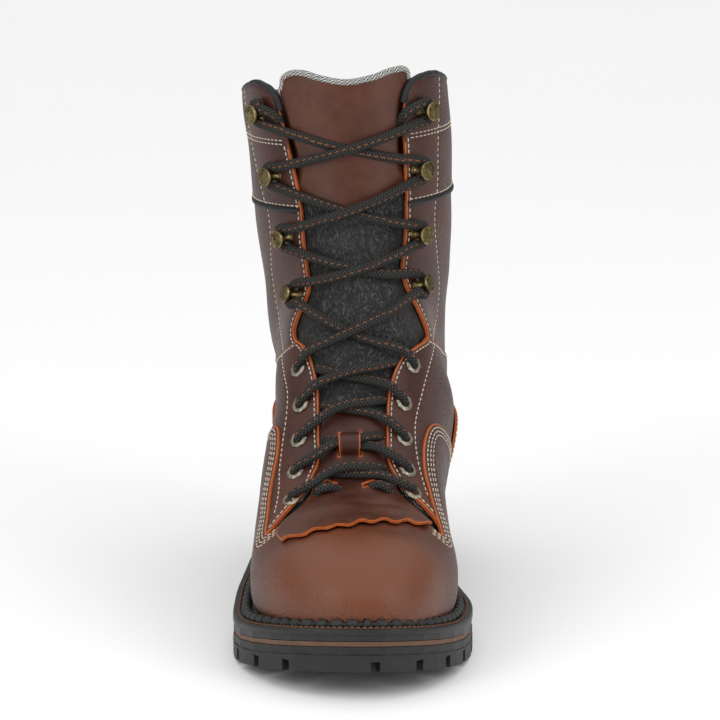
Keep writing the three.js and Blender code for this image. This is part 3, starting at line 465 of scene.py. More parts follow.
    def lacing_place(self, row: int, side: Side) -> tuple[float, float, float]:
        """Section, turn and distance from the long axis of one eyelet or hook.

        Args:
            row: row number, 0 lowest.
            side: the boot's side.

        Returns:
            The section number, the turn and the place across.
        """
        columns = LACING_ROWS[row][:2] if side is Side.LATERAL else LACING_ROWS[row][2:]
        s = self.section_at_front(columns[0])
        x = self.ball * columns[1]
        return s, side.value * float(self.turn_at_x(s, x, side)), x

    def creases(self, s: Array, t: Array) -> Array:
        """The height of the listed creases.

        Args:
            s: section numbers.
            t: turns, 0 in front.

        Returns:
            The lift in mm.
        """
        made = np.zeros(np.broadcast(s, t).shape)
        turn = (np.asarray(t) + 1) % 2 - 1
        for s0, t0, s1, t1, height, width in CREASES:
            a = np.array([s0 * 11, t0 * 170])
            b = np.array([s1 * 11, t1 * 170])
            run = b - a
            px, py = np.asarray(s) * 11 - a[0], turn * 170 - a[1]
            u = np.clip((px * run[0] + py * run[1]) / (run @ run), 0, 1)
            bend = 3.0 * np.sin(np.pi * u)
            gap = np.hypot(px - u * run[0] - bend, py - u * run[1])
            made = made + height * bell(gap, width) * np.sin(np.pi * np.clip(u, 0.04, 0.96)) ** 0.5
        swell = 0.25 * np.sin(np.asarray(s) * 2.1 + 5 * turn) * np.sin(9 * turn + 0.7)
        return made + swell * smooth(s, 6, 9)


class Outline:
    """A side-view outline for each side of the boot, rounded through its points."""

    def __init__(self, form: Form, rows: dict[Side, Pairs]) -> None:
        """Keeps the form and the outline."""
        self.loops = {side: self.rounded(form, rows[side]) for side in Side}

    @staticmethod
    def rounded(form: Form, rows: Pairs, steps: int = 6) -> Array:
        """One closed outline as points in y and z.

        Args:
            form: the form.
            rows: the net's rows.
            steps: pieces between knots.

        Returns:
            The smoothed outline.
        """
        points = np.array([(form.y_of(at), form.collar * high) for at, high in rows])
        made = []
        for i in range(len(points)):
            p0, p1, p2, p3 = (points[(i + k - 1) % len(points)] for k in range(4))
            reach = np.linalg.norm(p2 - p1)
            m1 = (p2 - p0) / (np.linalg.norm(p2 - p0) + 1e-9) * reach
            m2 = (p3 - p1) / (np.linalg.norm(p3 - p1) + 1e-9) * reach
            for u in np.arange(steps) / steps:
                if reach > 60:
                    made.append(p1 + (p2 - p1) * u)
                    continue
                u2, u3 = u * u, u ** 3
                made.append((2 * u3 - 3 * u2 + 1) * p1 + (u3 - 2 * u2 + u) * m1
                            + (3 * u2 - 2 * u3) * p2 + (u3 - u2) * m2)
        return np.array(made)

    def distance(self, point: Array) -> Array:
        """Signed distance in side view, negative inside.

        Args:
            point: points, in mm.

        Returns:
            The distance, minus inside.
        """
        flat = point.reshape(-1, 3)
        made = np.empty(len(flat))
        for side in Side:
            here = (flat[:, 0] > 2) == (side is Side.MEDIAL)
            made[here] = self.signed(self.loops[side], flat[here, 1:])
        return made.reshape(point.shape[:-1])

    @staticmethod
    def signed(loop: Array, flat: Array) -> Array:
        """Signed distance of flat points to a closed loop.

        Args:
            loop: the outline.
            flat: points seen from the side, in mm.

        Returns:
            The distance, minus inside.
        """
        best = np.full(len(flat), 1e9)
        inside = np.zeros(len(flat), bool)
        for p, q in zip(loop, np.roll(loop, -1, 0)):
            run = q - p
            u = np.clip(((flat - p) @ run) / max(run @ run, 1e-9), 0, 1)
            best = np.minimum(best, np.hypot(flat[:, 0] - p[0] - u * run[0],
                                             flat[:, 1] - p[1] - u * run[1]))
            if p[1] != q[1]:
                crosses = (p[1] > flat[:, 1]) != (q[1] > flat[:, 1])
                at = p[0] + (flat[:, 1] - p[1]) / (q[1] - p[1]) * run[0]
                inside ^= crosses & (flat[:, 0] < at)
        return np.where(inside, -best, best)


@dataclass
class Net:
    """A grid of places on the form with their points in space."""

    form: Form
    s: Array
    t: Array
    point: Array = field(init=False)

    def __post_init__(self) -> None:
        """Works out the net's points."""
        self.point = self.form.point(self.s, self.t)

    @classmethod
    def over(cls, form: Form, sections: tuple[float, float, int],
             turns: tuple[float, float, int]) -> "Net":
        """A regular net between two sections and two turns."""
        s, t = np.meshgrid(np.linspace(*sections), np.linspace(*turns), indexing="ij")
        return cls(form, s, t)

    def throat(self) -> Array:
        """Signed distance to the quarter's front edge, negative on the leather.

        Returns:
            The distance, minus inside.
        """
        turn = (self.t + 1) % 2 - 1
        made = np.zeros(self.s.shape)
        for side in Side:
            edge = side.value * self.form.edge_turn(self.s, side)
            run = (self.form.point(self.s + 0.03, side.value * self.form.edge_turn(self.s + 0.03, side))
                   - self.form.point(self.s - 0.03, side.value * self.form.edge_turn(self.s - 0.03, side)))
            run = run / np.linalg.norm(run, axis=-1, keepdims=True)
            gap = self.point - self.form.point(self.s, edge)
            gap = np.linalg.norm(gap - run * np.sum(gap * run, -1, keepdims=True), axis=-1)
            signed = np.where(np.abs(turn) > np.abs(edge), -gap, gap)
            made = np.where(np.sign(turn + 1e-9) == side.value, signed, made)
        return made

    def rim(self) -> Array:
        """Signed distance to the front edge and the collar's top, rounded at the corners.

        Returns:
            The distance, minus inside.
        """
        throat, top = self.throat(), (self.s - self.form.last + 0.05) * 12.5
        round_in = 6.0
        both = (throat > -round_in) & (top > -round_in)
        corner = np.hypot(np.maximum(throat + round_in, 0), np.maximum(top + round_in, 0)) - round_in
        return np.where(both, corner, np.maximum(throat, top))

    def outer_row(self) -> Array:
        """Distance outside the facing's outer stitch row.

        Returns:
            The distance.
        """
        turn = (self.t + 1) % 2 - 1
        made = np.zeros(self.s.shape)
        for side in Side:
            at, out = zip(*OUTER_ROW[side])
            gap = (np.abs(turn) - Curve(at, out)(self.s)) * TURN
            made = np.where(np.sign(turn + 1e-9) == side.value, gap, made)
        return made

    def above_sole(self, more: float = 0.3) -> Array:
        """Negative above the welt."""
        return self.form.welt_z(self.point[..., 1]) + more - self.point[..., 2]

    def level(self) -> Array:
        """Height measured square to the shaft's lean."""
        lean = math.radians(self.form.lean)
        return self.point[..., 2] * math.cos(lean) - self.point[..., 0] * math.sin(lean)


# Meshes.

@dataclass
class Mesh:
    """A mesh as it is gathered: points in millimetres, faces and numbers at its points."""

    name: str
    points: list[Array] = field(default_factory=list)
    faces: list[tuple[int, ...]] = field(default_factory=list)
    looks: list[int] = field(default_factory=list)
    numbers: dict[str, list[Array]] = field(default_factory=dict)
    count: int = 0

    def add(self, points: Array, faces: Sequence[Sequence[int]], look: int = 0,
            **numbers: Array) -> int:
        """Adds points and the faces between them.

        Args:
            points: an array of points.
            faces: faces as indices into these points.
            look: the index of the material.
            numbers: values at the points, by name.

        Returns:
            The index of the first point.
        """
        start = self.count
        self.points.append(np.asarray(points, float).reshape(-1, 3))
        self.count += len(self.points[-1])
        self.faces.extend(tuple(int(i) + start for i in face) for face in faces)
        self.looks.extend([look] * len(faces))
        for name, values in numbers.items():
            self.numbers.setdefault(name, []).append(np.broadcast_to(values, len(self.points[-1])))
        return start

    def build(self, materials: Sequence[bpy.types.Material], slot: str,
              replaces: Sequence[str] = (), sharp: float = 42.0) -> bpy.types.Object:
        """Makes the Blender object, rides it on the boot and hides the solids it stands for.

        Args:
            materials: the finishes by look.
            slot: the material slot; not used.
            replaces: the solids it stands for.
            sharp: the smoothing limit, degrees.

        Returns:
            The piece.
        """
        data = bpy.data.meshes.new(self.name)
        points = np.concatenate(self.points) * MM
        data.from_pydata(points.tolist(), [], self.faces)
        for material in materials:
            data.materials.append(material)
        data.polygons.foreach_set("material_index", self.looks)
        data.polygons.foreach_set("use_smooth", [True] * len(self.faces))
        for name, parts in self.numbers.items():
            layer = data.attributes.new(name, "FLOAT", "POINT")
            layer.data.foreach_set("value", np.concatenate(parts).astype(np.float32))
        data.validate()
        data.update()
        data.set_sharp_from_angle(angle=math.radians(sharp))
        piece = bpy.data.objects.new(self.name, data)
        bpy.context.scene.collection.objects.link(piece)
        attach(piece, BODY)
        if replaces:
            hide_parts(*replaces)
        LOG.info("%s: %d faces", self.name, len(self.faces))
        return piece


def grid_faces(rows: int, columns: int, wrap: bool = False) -> list[tuple[int, int, int, int]]:
    """Quads of a grid of points, rows by columns, closed round its columns where asked."""
    made = []
    for i in range(rows - 1):
        for j in range(columns if wrap else columns - 1):
            k = (j + 1) % columns
            made.append((i * columns + j, i * columns + k, (i + 1) * columns + k,
                         (i + 1) * columns + j))
    return made


def trimmed(net: Net, cut: Array) -> tuple[Array, Array, Array, list[tuple[int, ...]]]:
    """The part of a net where a field is negative.

    Args:
        net: the places.
        cut: signed distance to the cut at each place.

    Returns:
        Sections, turns, distances inside the cut, and faces.
    """
    rows, columns = cut.shape
    flat = np.where(np.abs(cut) < 1e-4, 1e-4, cut).ravel()
    s, t = list(net.s.ravel()), list(net.t.ravel())
    depth = list(-flat)
    inside = flat < 0
    index = np.arange(rows * columns).reshape(rows, columns)
    quads = np.stack([index[:-1, :-1], index[:-1, 1:], index[1:, 1:], index[1:, :-1]], -1).reshape(-1, 4)
    total = inside[quads].sum(1)
    faces = [tuple(q) for q in quads[total == 4]]
    made: dict[tuple[int, int], int] = {}
    for quad in quads[(total > 0) & (total < 4)]:
        face = []
        for k in range(4):
            a, b = int(quad[k]), int(quad[(k + 1) % 4])
            if inside[a]:
                face.append(a)
            if inside[a] != inside[b]:
                key = (min(a, b), max(a, b))
                if key not in made:
                    u = flat[key[0]] / (flat[key[0]] - flat[key[1]])
                    made[key] = len(s)
                    s.append(s[key[0]] + (s[key[1]] - s[key[0]]) * u)
                    t.append(t[key[0]] + (t[key[1]] - t[key[0]]) * u)
                    depth.append(0.0)
                face.append(made[key])
        if len(face) > 2:
            faces.append(tuple(face))
    used = sorted({i for face in faces for i in face})
    place = {old: new for new, old in enumerate(used)}
    faces = [tuple(place[i] for i in face) for face in faces]
    return (np.array(s)[used], np.array(t)[used], np.array(depth)[used], faces)


def contours(net: Net, values: Array) -> list[Array]:
    """The lines on a net where a field is zero, as chains of section and turn.

    Args:
        net: the net of places.
        values: one value for each place.

    Returns:
        The lines where the value is nought.
    """
    rows, columns = values.shape
    flat = np.where(np.abs(values) < 1e-5, 1e-5, values).ravel()
    index = np.arange(rows * columns).reshape(rows, columns)
    quads = np.stack([index[:-1, :-1], index[:-1, 1:], index[1:, 1:], index[1:, :-1]], -1).reshape(-1, 4)
    signs = (flat[quads] < 0).sum(1)
    links: dict[tuple[int, int], list[tuple[int, int]]] = {}
    for quad in quads[(signs > 0) & (signs < 4)]:
        found = []
        for k in range(4):
            a, b = int(quad[k]), int(quad[(k + 1) % 4])
            if (flat[a] < 0) != (flat[b] < 0):
                found.append((min(a, b), max(a, b)))
        for p, q in zip(found[::2], found[1::2]):
            links.setdefault(p, []).append(q)
            links.setdefault(q, []).append(p)
    s, t = net.s.ravel(), net.t.ravel()
    lines = []
    left = set(links)
    while left:
        ends = [key for key in left if len(links[key]) == 1]
        here = min(ends) if ends else min(left)
        chain = [here]
        left.discard(here)
        while True:
            onward = [key for key in links[here] if key in left]
            if not onward:
                break
            here = onward[0]
            left.discard(here)
            chain.append(here)
        if not ends and chain[0] in links[chain[-1]]:
            chain.append(chain[0])
        line = []
        for a, b in chain:
            u = flat[a] / (flat[a] - flat[b])
            line.append((s[a] + (s[b] - s[a]) * u, t[a] + (t[b] - t[a]) * u))
        lines.append(np.array(line))
    return lines


def resampled(points: Array, pitch: float, also: Sequence[Array] = ()) -> list[Array]:
    """Points spaced evenly along a chain, and other values carried with them.

    Args:
        points: the points, one a row.
        pitch: the new distance between points.
        also: columns carried along.

    Returns:
        The points and their columns.
    """
    step = np.linalg.norm(np.diff(points, axis=0), axis=1)
    run = np.concatenate(([0], np.cumsum(step)))
    count = max(2, int(round(run[-1] / pitch)) + 1)
    at = np.linspace(0, run[-1], count)
    made = []
    for values in (points, *also):
        values = np.asarray(values, float)
        if values.ndim == 1:
            made.append(np.interp(at, run, values))
        else:
            made.append(np.stack([np.interp(at, run, values[:, k]) for k in range(values.shape[1])], -1))
    return made


def spline(points: Sequence[Array], steps: int = 10) -> Array:
    """A smooth chain through points, evenly tight at its bends.

    Args:
        points: the points, one a row.
        steps: pieces between knots.

    Returns:
        The finer line.
    """
    p = np.asarray(points, float)
    p = np.concatenate([[2 * p[0] - p[1]], p, [2 * p[-1] - p[-2]]])
    made = []
    for i in range(1, len(p) - 2):
        k = [0.0]
        for a, b in zip(p[i - 1:i + 2], p[i:i + 3]):
            k.append(k[-1] + max(np.linalg.norm(b[:3] - a[:3]), 1e-6) ** 0.5)
        for u in np.linspace(k[1], k[2], steps, endpoint=False):
            def mix(a: Array, b: Array, low: float, high: float) -> Array:
                """A point between two knots."""
                return a + (b - a) * ((u - low) / (high - low))
            a1 = mix(p[i - 1], p[i], k[0], k[1])
            a2 = mix(p[i], p[i + 1], k[1], k[2])
            a3 = mix(p[i + 1], p[i + 2], k[2], k[3])
            b1 = mix(a1, a2, k[0], k[2])
            b2 = mix(a2, a3, k[1], k[3])
            made.append(mix(b1, b2, k[1], k[2]))
    made.append(p[-2])
    return np.array(made)


def frames(path: Array, up: Array) -> tuple[Array, Array, Array]:
    """Directions along a path, across it, and away from the leather.

    Args:
        path: the line's points.
        up: the direction away from the surface.

    Returns:
        The sideways and the upward directions.
    """
    along = np.gradient(path, axis=0)
    along = along / np.linalg.norm(along, axis=1, keepdims=True)
    out = up - along * np.sum(up * along, axis=1, keepdims=True)
    out = out / np.maximum(np.linalg.norm(out, axis=1, keepdims=True), 1e-9)
    return along, np.cross(along, out), out


def tube(mesh: Mesh, path: Array, up: Array, wide: Number, tall: Number,
         sides: int = 12, look: int = 0, closed: bool = False,
         **numbers: Callable[[Array, Array], Array]) -> None:
    """Adds a tube along a path.

    Args:
        mesh: where it goes.
        path: the points that it follows.
        up: a direction at each point that its flat side faces.
        wide: half width across, at each point or for all.
        tall: half height along up.
        sides: points round it.
        look: the index of the material.
        closed: whether the path is a loop.
        numbers: functions of the length along and the angle round, by attribute name.
    """
    along, across, out = frames(path, up)
    if closed:
        path, across, out = path[:-1], across[:-1], out[:-1]
    count = len(path)
    angle = 2 * np.pi * np.arange(sides) / sides
    wide = np.broadcast_to(wide, len(along))[:count, None, None]
    tall = np.broadcast_to(tall, len(along))[:count, None, None]
    rings = (path[:, None, :] + across[:, None, :] * np.cos(angle)[None, :, None] * wide
             + out[:, None, :] * np.sin(angle)[None, :, None] * tall)
    step = np.linalg.norm(np.diff(path, axis=0), axis=1)
    run = np.concatenate(([0], np.cumsum(step)))
    values = {name: function(run[:, None], angle[None, :]).ravel() for name, function in numbers.items()}
    faces = grid_faces(count, sides, True)
    if closed:
        faces += [((count - 1) * sides + j, (count - 1) * sides + (j + 1) % sides,
                   (j + 1) % sides, j) for j in range(sides)]
    else:
        faces += [tuple(range(sides))[::-1], tuple((count - 1) * sides + j for j in range(sides))]
    mesh.add(rings.reshape(-1, 3), faces, look, **values)


def lathe(mesh: Mesh, profile: Pairs, centre: Array, axis: Array,
          sides: int = 32, corners: int = 0, look: int = 0) -> None:
    """Adds a turned piece standing on a point.

    Args:
        mesh: where it goes.
        profile: radius and height from the foot up.
        centre: the foot's centre.
        axis: the direction that it stands in.
        sides: points round it.
        corners: corners of its outer edge, or 0 where it is round.
        look: the index of the material.
    """
    axis = axis / np.linalg.norm(axis)
    first = np.cross([0.0, 0.0, 1.0], axis)
    first = first / np.linalg.norm(first)
    second = np.cross(axis, first)
    angle = 2 * np.pi * np.arange(sides) / sides
    reach = np.ones(sides)
    if corners:
        wedge = (angle + np.pi / corners) % (2 * np.pi / corners) - np.pi / corners
        reach = math.cos(np.pi / corners) / np.cos(wedge)
        reach = reach / reach.max()
    widest = max(r for r, _ in profile)
    rows = []
    for r, h in profile:
        blend = np.clip((r / widest - 0.6) / 0.3, 0, 1)
        radius = r * (1 + (reach - 1) * blend)
        rows.append(centre + axis * h + first * (np.cos(angle) * radius)[:, None]
                    + second * (np.sin(angle) * radius)[:, None])
    points = np.concatenate(rows)
    faces = grid_faces(len(profile), sides, True)
    if np.hypot(profile[0][0] - profile[-1][0], profile[0][1] - profile[-1][1]) < 1e-6:
        faces = [tuple(i % ((len(profile) - 1) * sides) for i in face) for face in faces]
        points = points[:-sides]
    else:
        faces += [tuple(range(sides))[::-1],
                  tuple((len(profile) - 1) * sides + j for j in range(sides))]
    mesh.add(points, faces, look)


@dataclass
class Thread:
    """Rows of stitches gathered into one mesh."""

    name: str
    radius: float = 0.33
    pitch: float = 3.05
    stitch: float = 2.25
    mesh: Mesh = field(init=False)

    def __post_init__(self) -> None:
        """Starts the mesh."""
        self.mesh = Mesh(self.name)

    def sew(self, path: Array, up: Array, keep: Optional[Array] = None) -> None:
        """Sews stitches along a path whose points and normals are given.

        Args:
            path: the line's points.
            up: the direction away from the surface.
            keep: which places stay.
        """
        carried = [up] if keep is None else [up, keep.astype(float)]
        made = resampled(path, self.pitch, carried)
        centre, normal = made[0], made[1]
        if len(centre) < 3:
            return
        along, across, out = frames(centre, normal)
        if keep is not None:
            kept = made[2] > 0.99
            centre, along, across, out = centre[kept], along[kept], across[kept], out[kept]
        half = self.stitch / 2
        stations = [(-1.0, 0.0), (-0.93, 0.6), (-0.6, 0.95), (0.0, 1.05), (0.6, 0.95), (0.93, 0.6),
                    (1.0, 0.0)]
        sides = 6
        angle = 2 * np.pi * np.arange(sides) / sides
        faces = grid_faces(len(stations), sides, True)
        for c, a, x, o in zip(centre, along, across, out):
            rings = []
            for u, r in stations:
                middle = c + a * (u * half) + o * (self.radius * (0.55 - 1.15 * u ** 4))
                radius = self.radius * max(r, 0.05)
                rings.append(middle + x * (np.cos(angle) * radius)[:, None]
                             + o * (np.sin(angle) * radius)[:, None])
            self.mesh.add(np.concatenate(rings), faces)

    def follow(self, net: Net, values: Array, lift: Lift,
               keep: Optional[Callable[[Net], Array]] = None) -> None:
        """Sews along the lines where a field on a net is zero."""
        for line in contours(net, values):
            if len(line) < 6:
                continue
            s, t = line[:, 0], line[:, 1]
            path = net.form.offset(s, t, lift(s, t))
            up = net.form.normal(s, t)
            mask = None if keep is None else keep(Net(net.form, s, t))
            self.sew(path, up, mask)


# Shading.

class Signal:
    """A socket of a shader graph, usable in arithmetic."""

    def __init__(self, graph: "Graph", socket: bpy.types.NodeSocket) -> None:
        """Keeps the graph and the socket."""
        self.graph = graph
        self.socket = socket

    def math(self, operation: str, *values: Any) -> "Signal":
        """Adds one Math node over the values given."""
        return self.graph.node("ShaderNodeMath", {"operation": operation}, dict(enumerate(values)))

    def __add__(self, other: Any) -> "Signal":
        """Adds."""
        return self.math("ADD", self, other)

    __radd__ = __add__

    def __mul__(self, other: Any) -> "Signal":
        """Multiplies."""
        return self.math("MULTIPLY", self, other)

    __rmul__ = __mul__

    def __sub__(self, other: Any) -> "Signal":
        """Subtracts."""
        return self.math("SUBTRACT", self, other)

    def __rsub__(self, other: Any) -> "Signal":
        """Subtracts from a number."""
        return self.math("SUBTRACT", other, self)

    def __truediv__(self, other: Any) -> "Signal":
        """Divides."""
        return self.math("DIVIDE", self, other)

    def __rtruediv__(self, other: Any) -> "Signal":
        """Divides a number."""
        return self.math("DIVIDE", other, self)

    def __pow__(self, other: Any) -> "Signal":
        """Raises to a power."""
        return self.math("POWER", self, other)

    def __gt__(self, other: Any) -> "Signal":
        """One where it is greater."""
        return self.math("GREATER_THAN", self, other)

    def __lt__(self, other: Any) -> "Signal":
        """One where it is less."""
        return self.math("LESS_THAN", self, other)

    def span(self, low: float, high: float) -> "Signal":
        """0 below low, 1 above high, and between them a smooth step."""
        return self.graph.node("ShaderNodeMapRange", {"interpolation_type": "SMOOTHSTEP"},
                               {"Value": self, "From Min": low, "From Max": high,
                                "To Min": 0.0, "To Max": 1.0})


class Graph:
    """A material's node tree."""

    def __init__(self, name: str) -> None:
        """Makes an empty material."""
        self.material = bpy.data.materials.new(name)
        self.material.use_nodes = True
        self.tree = self.material.node_tree
        self.tree.nodes.clear()

    def node(self, kind: str, settings: Optional[dict[str, Any]] = None,
             values: Optional[dict[Union[int, str], Any]] = None, output: int = 0) -> Signal:
        """Adds a node.

        Args:
            kind: the node's type.
            settings: its properties; stops are a colour ramp's places and colours.
            values: numbers or signals for its sockets, by index or name.
            output: the index of the socket returned.

        Returns:
            The chosen output.
        """
        made = self.tree.nodes.new(kind)
        for name, value in (settings or {}).items():
            if name == "stops":
                ramp = made.color_ramp
                while len(ramp.elements) < len(value):
                    ramp.elements.new(0.5)
                for element, (place, colour) in zip(ramp.elements, value):
                    element.position = place
                    element.color = (*colour, 1.0)
            else:
                setattr(made, name, value)
        for key, value in (values or {}).items():
            if isinstance(value, Signal):
                self.tree.links.new(value.socket, made.inputs[key])
            else:
                made.inputs[key].default_value = value
        return Signal(self, made.outputs[output])

    def place(self) -> Signal:
        """The point on the piece, in millimetres."""
        point = self.node("ShaderNodeTexCoord", output=3)
        return self.node("ShaderNodeVectorMath", {"operation": "SCALE"}, {0: point, "Scale": 1000.0})

    def stretch(self, point: Signal, scale: tuple[float, float, float],
                turn: tuple[float, float, float] = (0.0, 0.0, 0.0)) -> Signal:
        """The point turned and stretched."""
        return self.node("ShaderNodeMapping", {}, {"Vector": point, "Scale": scale, "Rotation": turn})

    def noise(self, point: Signal, size: float, detail: float = 4.0, rough: float = 0.55,
              bend: float = 0.0) -> Signal:
        """Cloudy noise of a size in millimetres."""
        return self.node("ShaderNodeTexNoise", {}, {"Vector": point, "Scale": 1.0 / size, "Detail": detail,
                                                    "Roughness": rough, "Distortion": bend})

    def cells(self, point: Signal, size: float, feature: str = "F1") -> Signal:
        """Distance in a pattern of cells of a size in millimetres."""
        return self.node("ShaderNodeTexVoronoi", {"feature": feature},
                         {"Vector": point, "Scale": 1.0 / size})

    def number(self, name: str) -> Signal:
        """A number kept at the mesh's points."""
        return self.node("ShaderNodeAttribute", {"attribute_name": name}, output=2)

    def mix(self, low: Any, high: Any, share: Any, blend: str = "MIX") -> Signal:
        """One colour over another."""
        low, high = (value if isinstance(value, Signal) else (*value, 1.0) for value in (low, high))
        return self.node("ShaderNodeMix", {"data_type": "RGBA", "blend_type": blend},
                         {0: share, 6: low, 7: high}, 2)

    def bump(self, height: Signal, depth: float, below: Optional[Signal] = None,
             strength: float = 1.0) -> Signal:
        """A bump of a depth in millimetres, over another where given."""
        values: dict[Union[int, str], Any] = {"Height": height, "Distance": depth * MM,
                                              "Strength": strength}
        if below is not None:
            values["Normal"] = below
        return self.node("ShaderNodeBump", {}, values)

    def finish(self, values: dict[str, Any]) -> bpy.types.Material:
        """Ends the graph in one Principled surface with these sockets."""
        surface = self.node("ShaderNodeBsdfPrincipled", {}, {
            name: (*value, 1.0) if isinstance(value, tuple) and len(value) == 3 else value
            for name, value in values.items()})
        self.node_out(surface)
        return self.material

    def node_out(self, surface: Signal) -> None:
        """Links the surface to the material's output."""
        made = self.tree.nodes.new("ShaderNodeOutputMaterial")
        self.tree.links.new(surface.socket, made.inputs["Surface"])


@dataclass(frozen=True)
class OiledLeather:
    """Dark red-brown oiled leather, lighter along its facings and where it is rubbed near its cuts, with a
    painted highlight over the toe box, painted sheen and shade in its pebble grain, and raw along its
    cuts.
    """

    name: str
    deep: Colour = (0.026, 0.0072, 0.0050)
    body: Colour = (0.052, 0.0140, 0.0088)
    light_tone_and_highlight: Colour = (0.178, 0.052, 0.0185)
    dust_and_sheen: Colour = (0.095, 0.050, 0.038)
    raw: Colour = (0.46, 0.105, 0.022)
    pebble: float = 0.8
    rough: float = 0.41

    def material(self) -> bpy.types.Material:
        """Builds the material.

        Returns:
            The material.
        """
        g = Graph(self.name)
        p = g.place()
        cloud = g.noise(p, 30.0, 5.0, 0.6, 0.6)
        patch = g.noise(p, 8.0, 4.0, 0.6)
        warm = g.number("warm")
        facing = g.number("facing")
        rim = g.number("rim")
        cell = g.cells(p, 1.25)
        fine = g.noise(p, 0.6, 3.0, 0.6)
        scuff = g.noise(g.stretch(p, (1.0, 0.35, 0.16), (0.3, 0.2, 0.5)), 1.6, 3.0, 0.7).span(0.6, 0.78)
        grain = (1 - facing * 0.75) * self.pebble
        colour = g.mix(self.deep, self.body, (cloud + (patch - 0.5) * 0.3).span(0.3, 0.66))
        # Lighter tone mixed in by the per-point number. This is partly the real lighter tone of the
        # facings and of some pieces, and partly a painted highlight over the toe box that fades out below
        # the kiltie, where its shade falls.
        colour = g.mix(colour, self.light_tone_and_highlight, (warm * 0.85 + (patch - 0.5) * 0.4).span(0.1, 1.15) * 0.8)
        # The greyish colour on the raised borders of the pebble grain is a painted sheen, and the darker
        # pits below are painted shade. The same greyish colour is real dust in the scuffs further down.
        colour = g.mix(colour, self.dust_and_sheen, grain * 0.42 * cell.span(0.2, 0.62))
        colour = g.mix(colour, self.deep, (1 - cell.span(0.05, 0.32)) * 0.35 * grain)
        worn = (1 - rim.span(0.6, 2.2)) * patch.span(0.35, 0.6)
        colour = g.mix(colour, self.light_tone_and_highlight, worn * 0.5)
        colour = g.mix(colour, self.dust_and_sheen, scuff * 0.1)
        colour = g.mix(colour, self.raw, 1 - (rim + (fine - 0.5) * 0.5).span(0.35, 0.75))
        rough = self.rough + (patch - 0.5) * 0.2 + grain * 0.08 + scuff * 0.12 - warm * 0.04
        normal = g.bump(cell * grain + fine * 0.25, 0.42)
        normal = g.bump(patch, 0.5, normal, 0.4)
        return g.finish({"Base Color": colour, "Roughness": rough, "Normal": normal,
                         "Specular IOR Level": 0.33})


@dataclass(frozen=True)
class RawEdge:
    """The orange cut edge of vegetable-dyed leather."""

    name: str = "raw_orange_edge"
    light: Colour = (0.50, 0.115, 0.024)
    dark: Colour = (0.20, 0.038, 0.010)

    def material(self) -> bpy.types.Material:
        """Builds the material.

        Returns:
            The material.
        """
        g = Graph(self.name)
        p = g.place()
        fibre = g.noise(p, 0.5, 4.0, 0.7)
        patch = g.noise(p, 4.5, 3.0)
        colour = g.mix(self.dark, self.light, (fibre * 0.6 + patch * 0.6).span(0.28, 0.72))
        return g.finish({"Base Color": colour, "Roughness": 0.78, "Normal": g.bump(fibre, 0.2),
                         "Specular IOR Level": 0.25})


@dataclass(frozen=True)
class SoftBlack:
    """Soft black leather with fine wrinkles."""

    name: str = "soft_black_leather"
    dark: Colour = (0.009, 0.009, 0.009)
    grey: Colour = (0.050, 0.049, 0.048)
    rough: float = 0.5

    def material(self) -> bpy.types.Material:
        """Builds the material.

        Returns:
            The material.
        """
        g = Graph(self.name)
        p = g.place()
        bent = g.noise(g.stretch(p, (1.0, 1.0, 0.4)), 2.6, 4.0, 0.6, 1.8)
        fold = (bent - 0.5).math("ABSOLUTE", bent - 0.5).span(0.0, 0.09)
        soft = g.noise(p, 12.0, 3.0, 0.6)
        fine = g.cells(p, 0.8)
        # Darker along the troughs of the wrinkles, where fold is low: painted shade in the creases. The
        # soft and fine noise is the leather's own tone.
        colour = g.mix(self.dark, self.grey, fold * 0.45 + soft * 0.5 + fine * 0.2 - 0.2)
        normal = g.bump(fold, 0.5)
        normal = g.bump(fine, 0.14, normal)
        return g.finish({"Base Color": colour, "Roughness": self.rough + (1 - fold) * 0.2,
                         "Normal": normal, "Specular IOR Level": 0.45})


@dataclass(frozen=True)
class RolledEdge:
    """Plain black edging leather."""

    name: str = "black_edging"
    dark: Colour = (0.006, 0.006, 0.0065)
    grey: Colour = (0.021, 0.021, 0.022)

    def material(self) -> bpy.types.Material:
        """Builds the material.

        Returns:
            The material.
        """
        g = Graph(self.name)
        p = g.place()
        fine = g.noise(p, 0.8, 4.0, 0.6)
        colour = g.mix(self.dark, self.grey, fine.span(0.35, 0.8))
        return g.finish({"Base Color": colour, "Roughness": fine * 0.2 + 0.42,
                         "Normal": g.bump(fine, 0.14), "Specular IOR Level": 0.35})


@dataclass(frozen=True)
class Herringbone:
    """Black and white herringbone lining cloth."""

    name: str = "herringbone_lining"
    dark: Colour = (0.012, 0.012, 0.014)
    light: Colour = (0.66, 0.65, 0.62)
    band: float = 3.2
    stripe: float = 1.7

    def material(self) -> bpy.types.Material:
        """Builds the material.

        Returns:
            The material.
        """
        g = Graph(self.name)
        across, up = g.number("weft"), g.number("warp")
        zig = across.math("PINGPONG", across, self.band)
        stripe = (up + zig * 1.2) / self.stripe
        weave = stripe.math("PINGPONG", stripe * 2, 1.0)
        yarn = weave.span(0.35, 0.62)
        fuzz = g.noise(g.place(), 0.4, 3.0, 0.7)
        colour = g.mix(self.dark, self.light, yarn * (fuzz * 0.4 + 0.75))
        return g.finish({"Base Color": colour, "Roughness": 0.9,
                         "Normal": g.bump(weave + fuzz * 0.4, 0.25), "Specular IOR Level": 0.15})


@dataclass(frozen=True)
class Yarn:
    """Sewing thread of one colour."""

    name: str
    colour: Colour
    shade: Colour

    def material(self) -> bpy.types.Material:
        """Builds the material."""
        g = Graph(self.name)
        fuzz = g.noise(g.place(), 0.35, 3.0, 0.6)
        return g.finish({"Base Color": g.mix(self.shade, self.colour, fuzz.span(0.3, 0.6)),
                         "Roughness": 0.7, "Normal": g.bump(fuzz, 0.12),
                         "Specular IOR Level": 0.3})


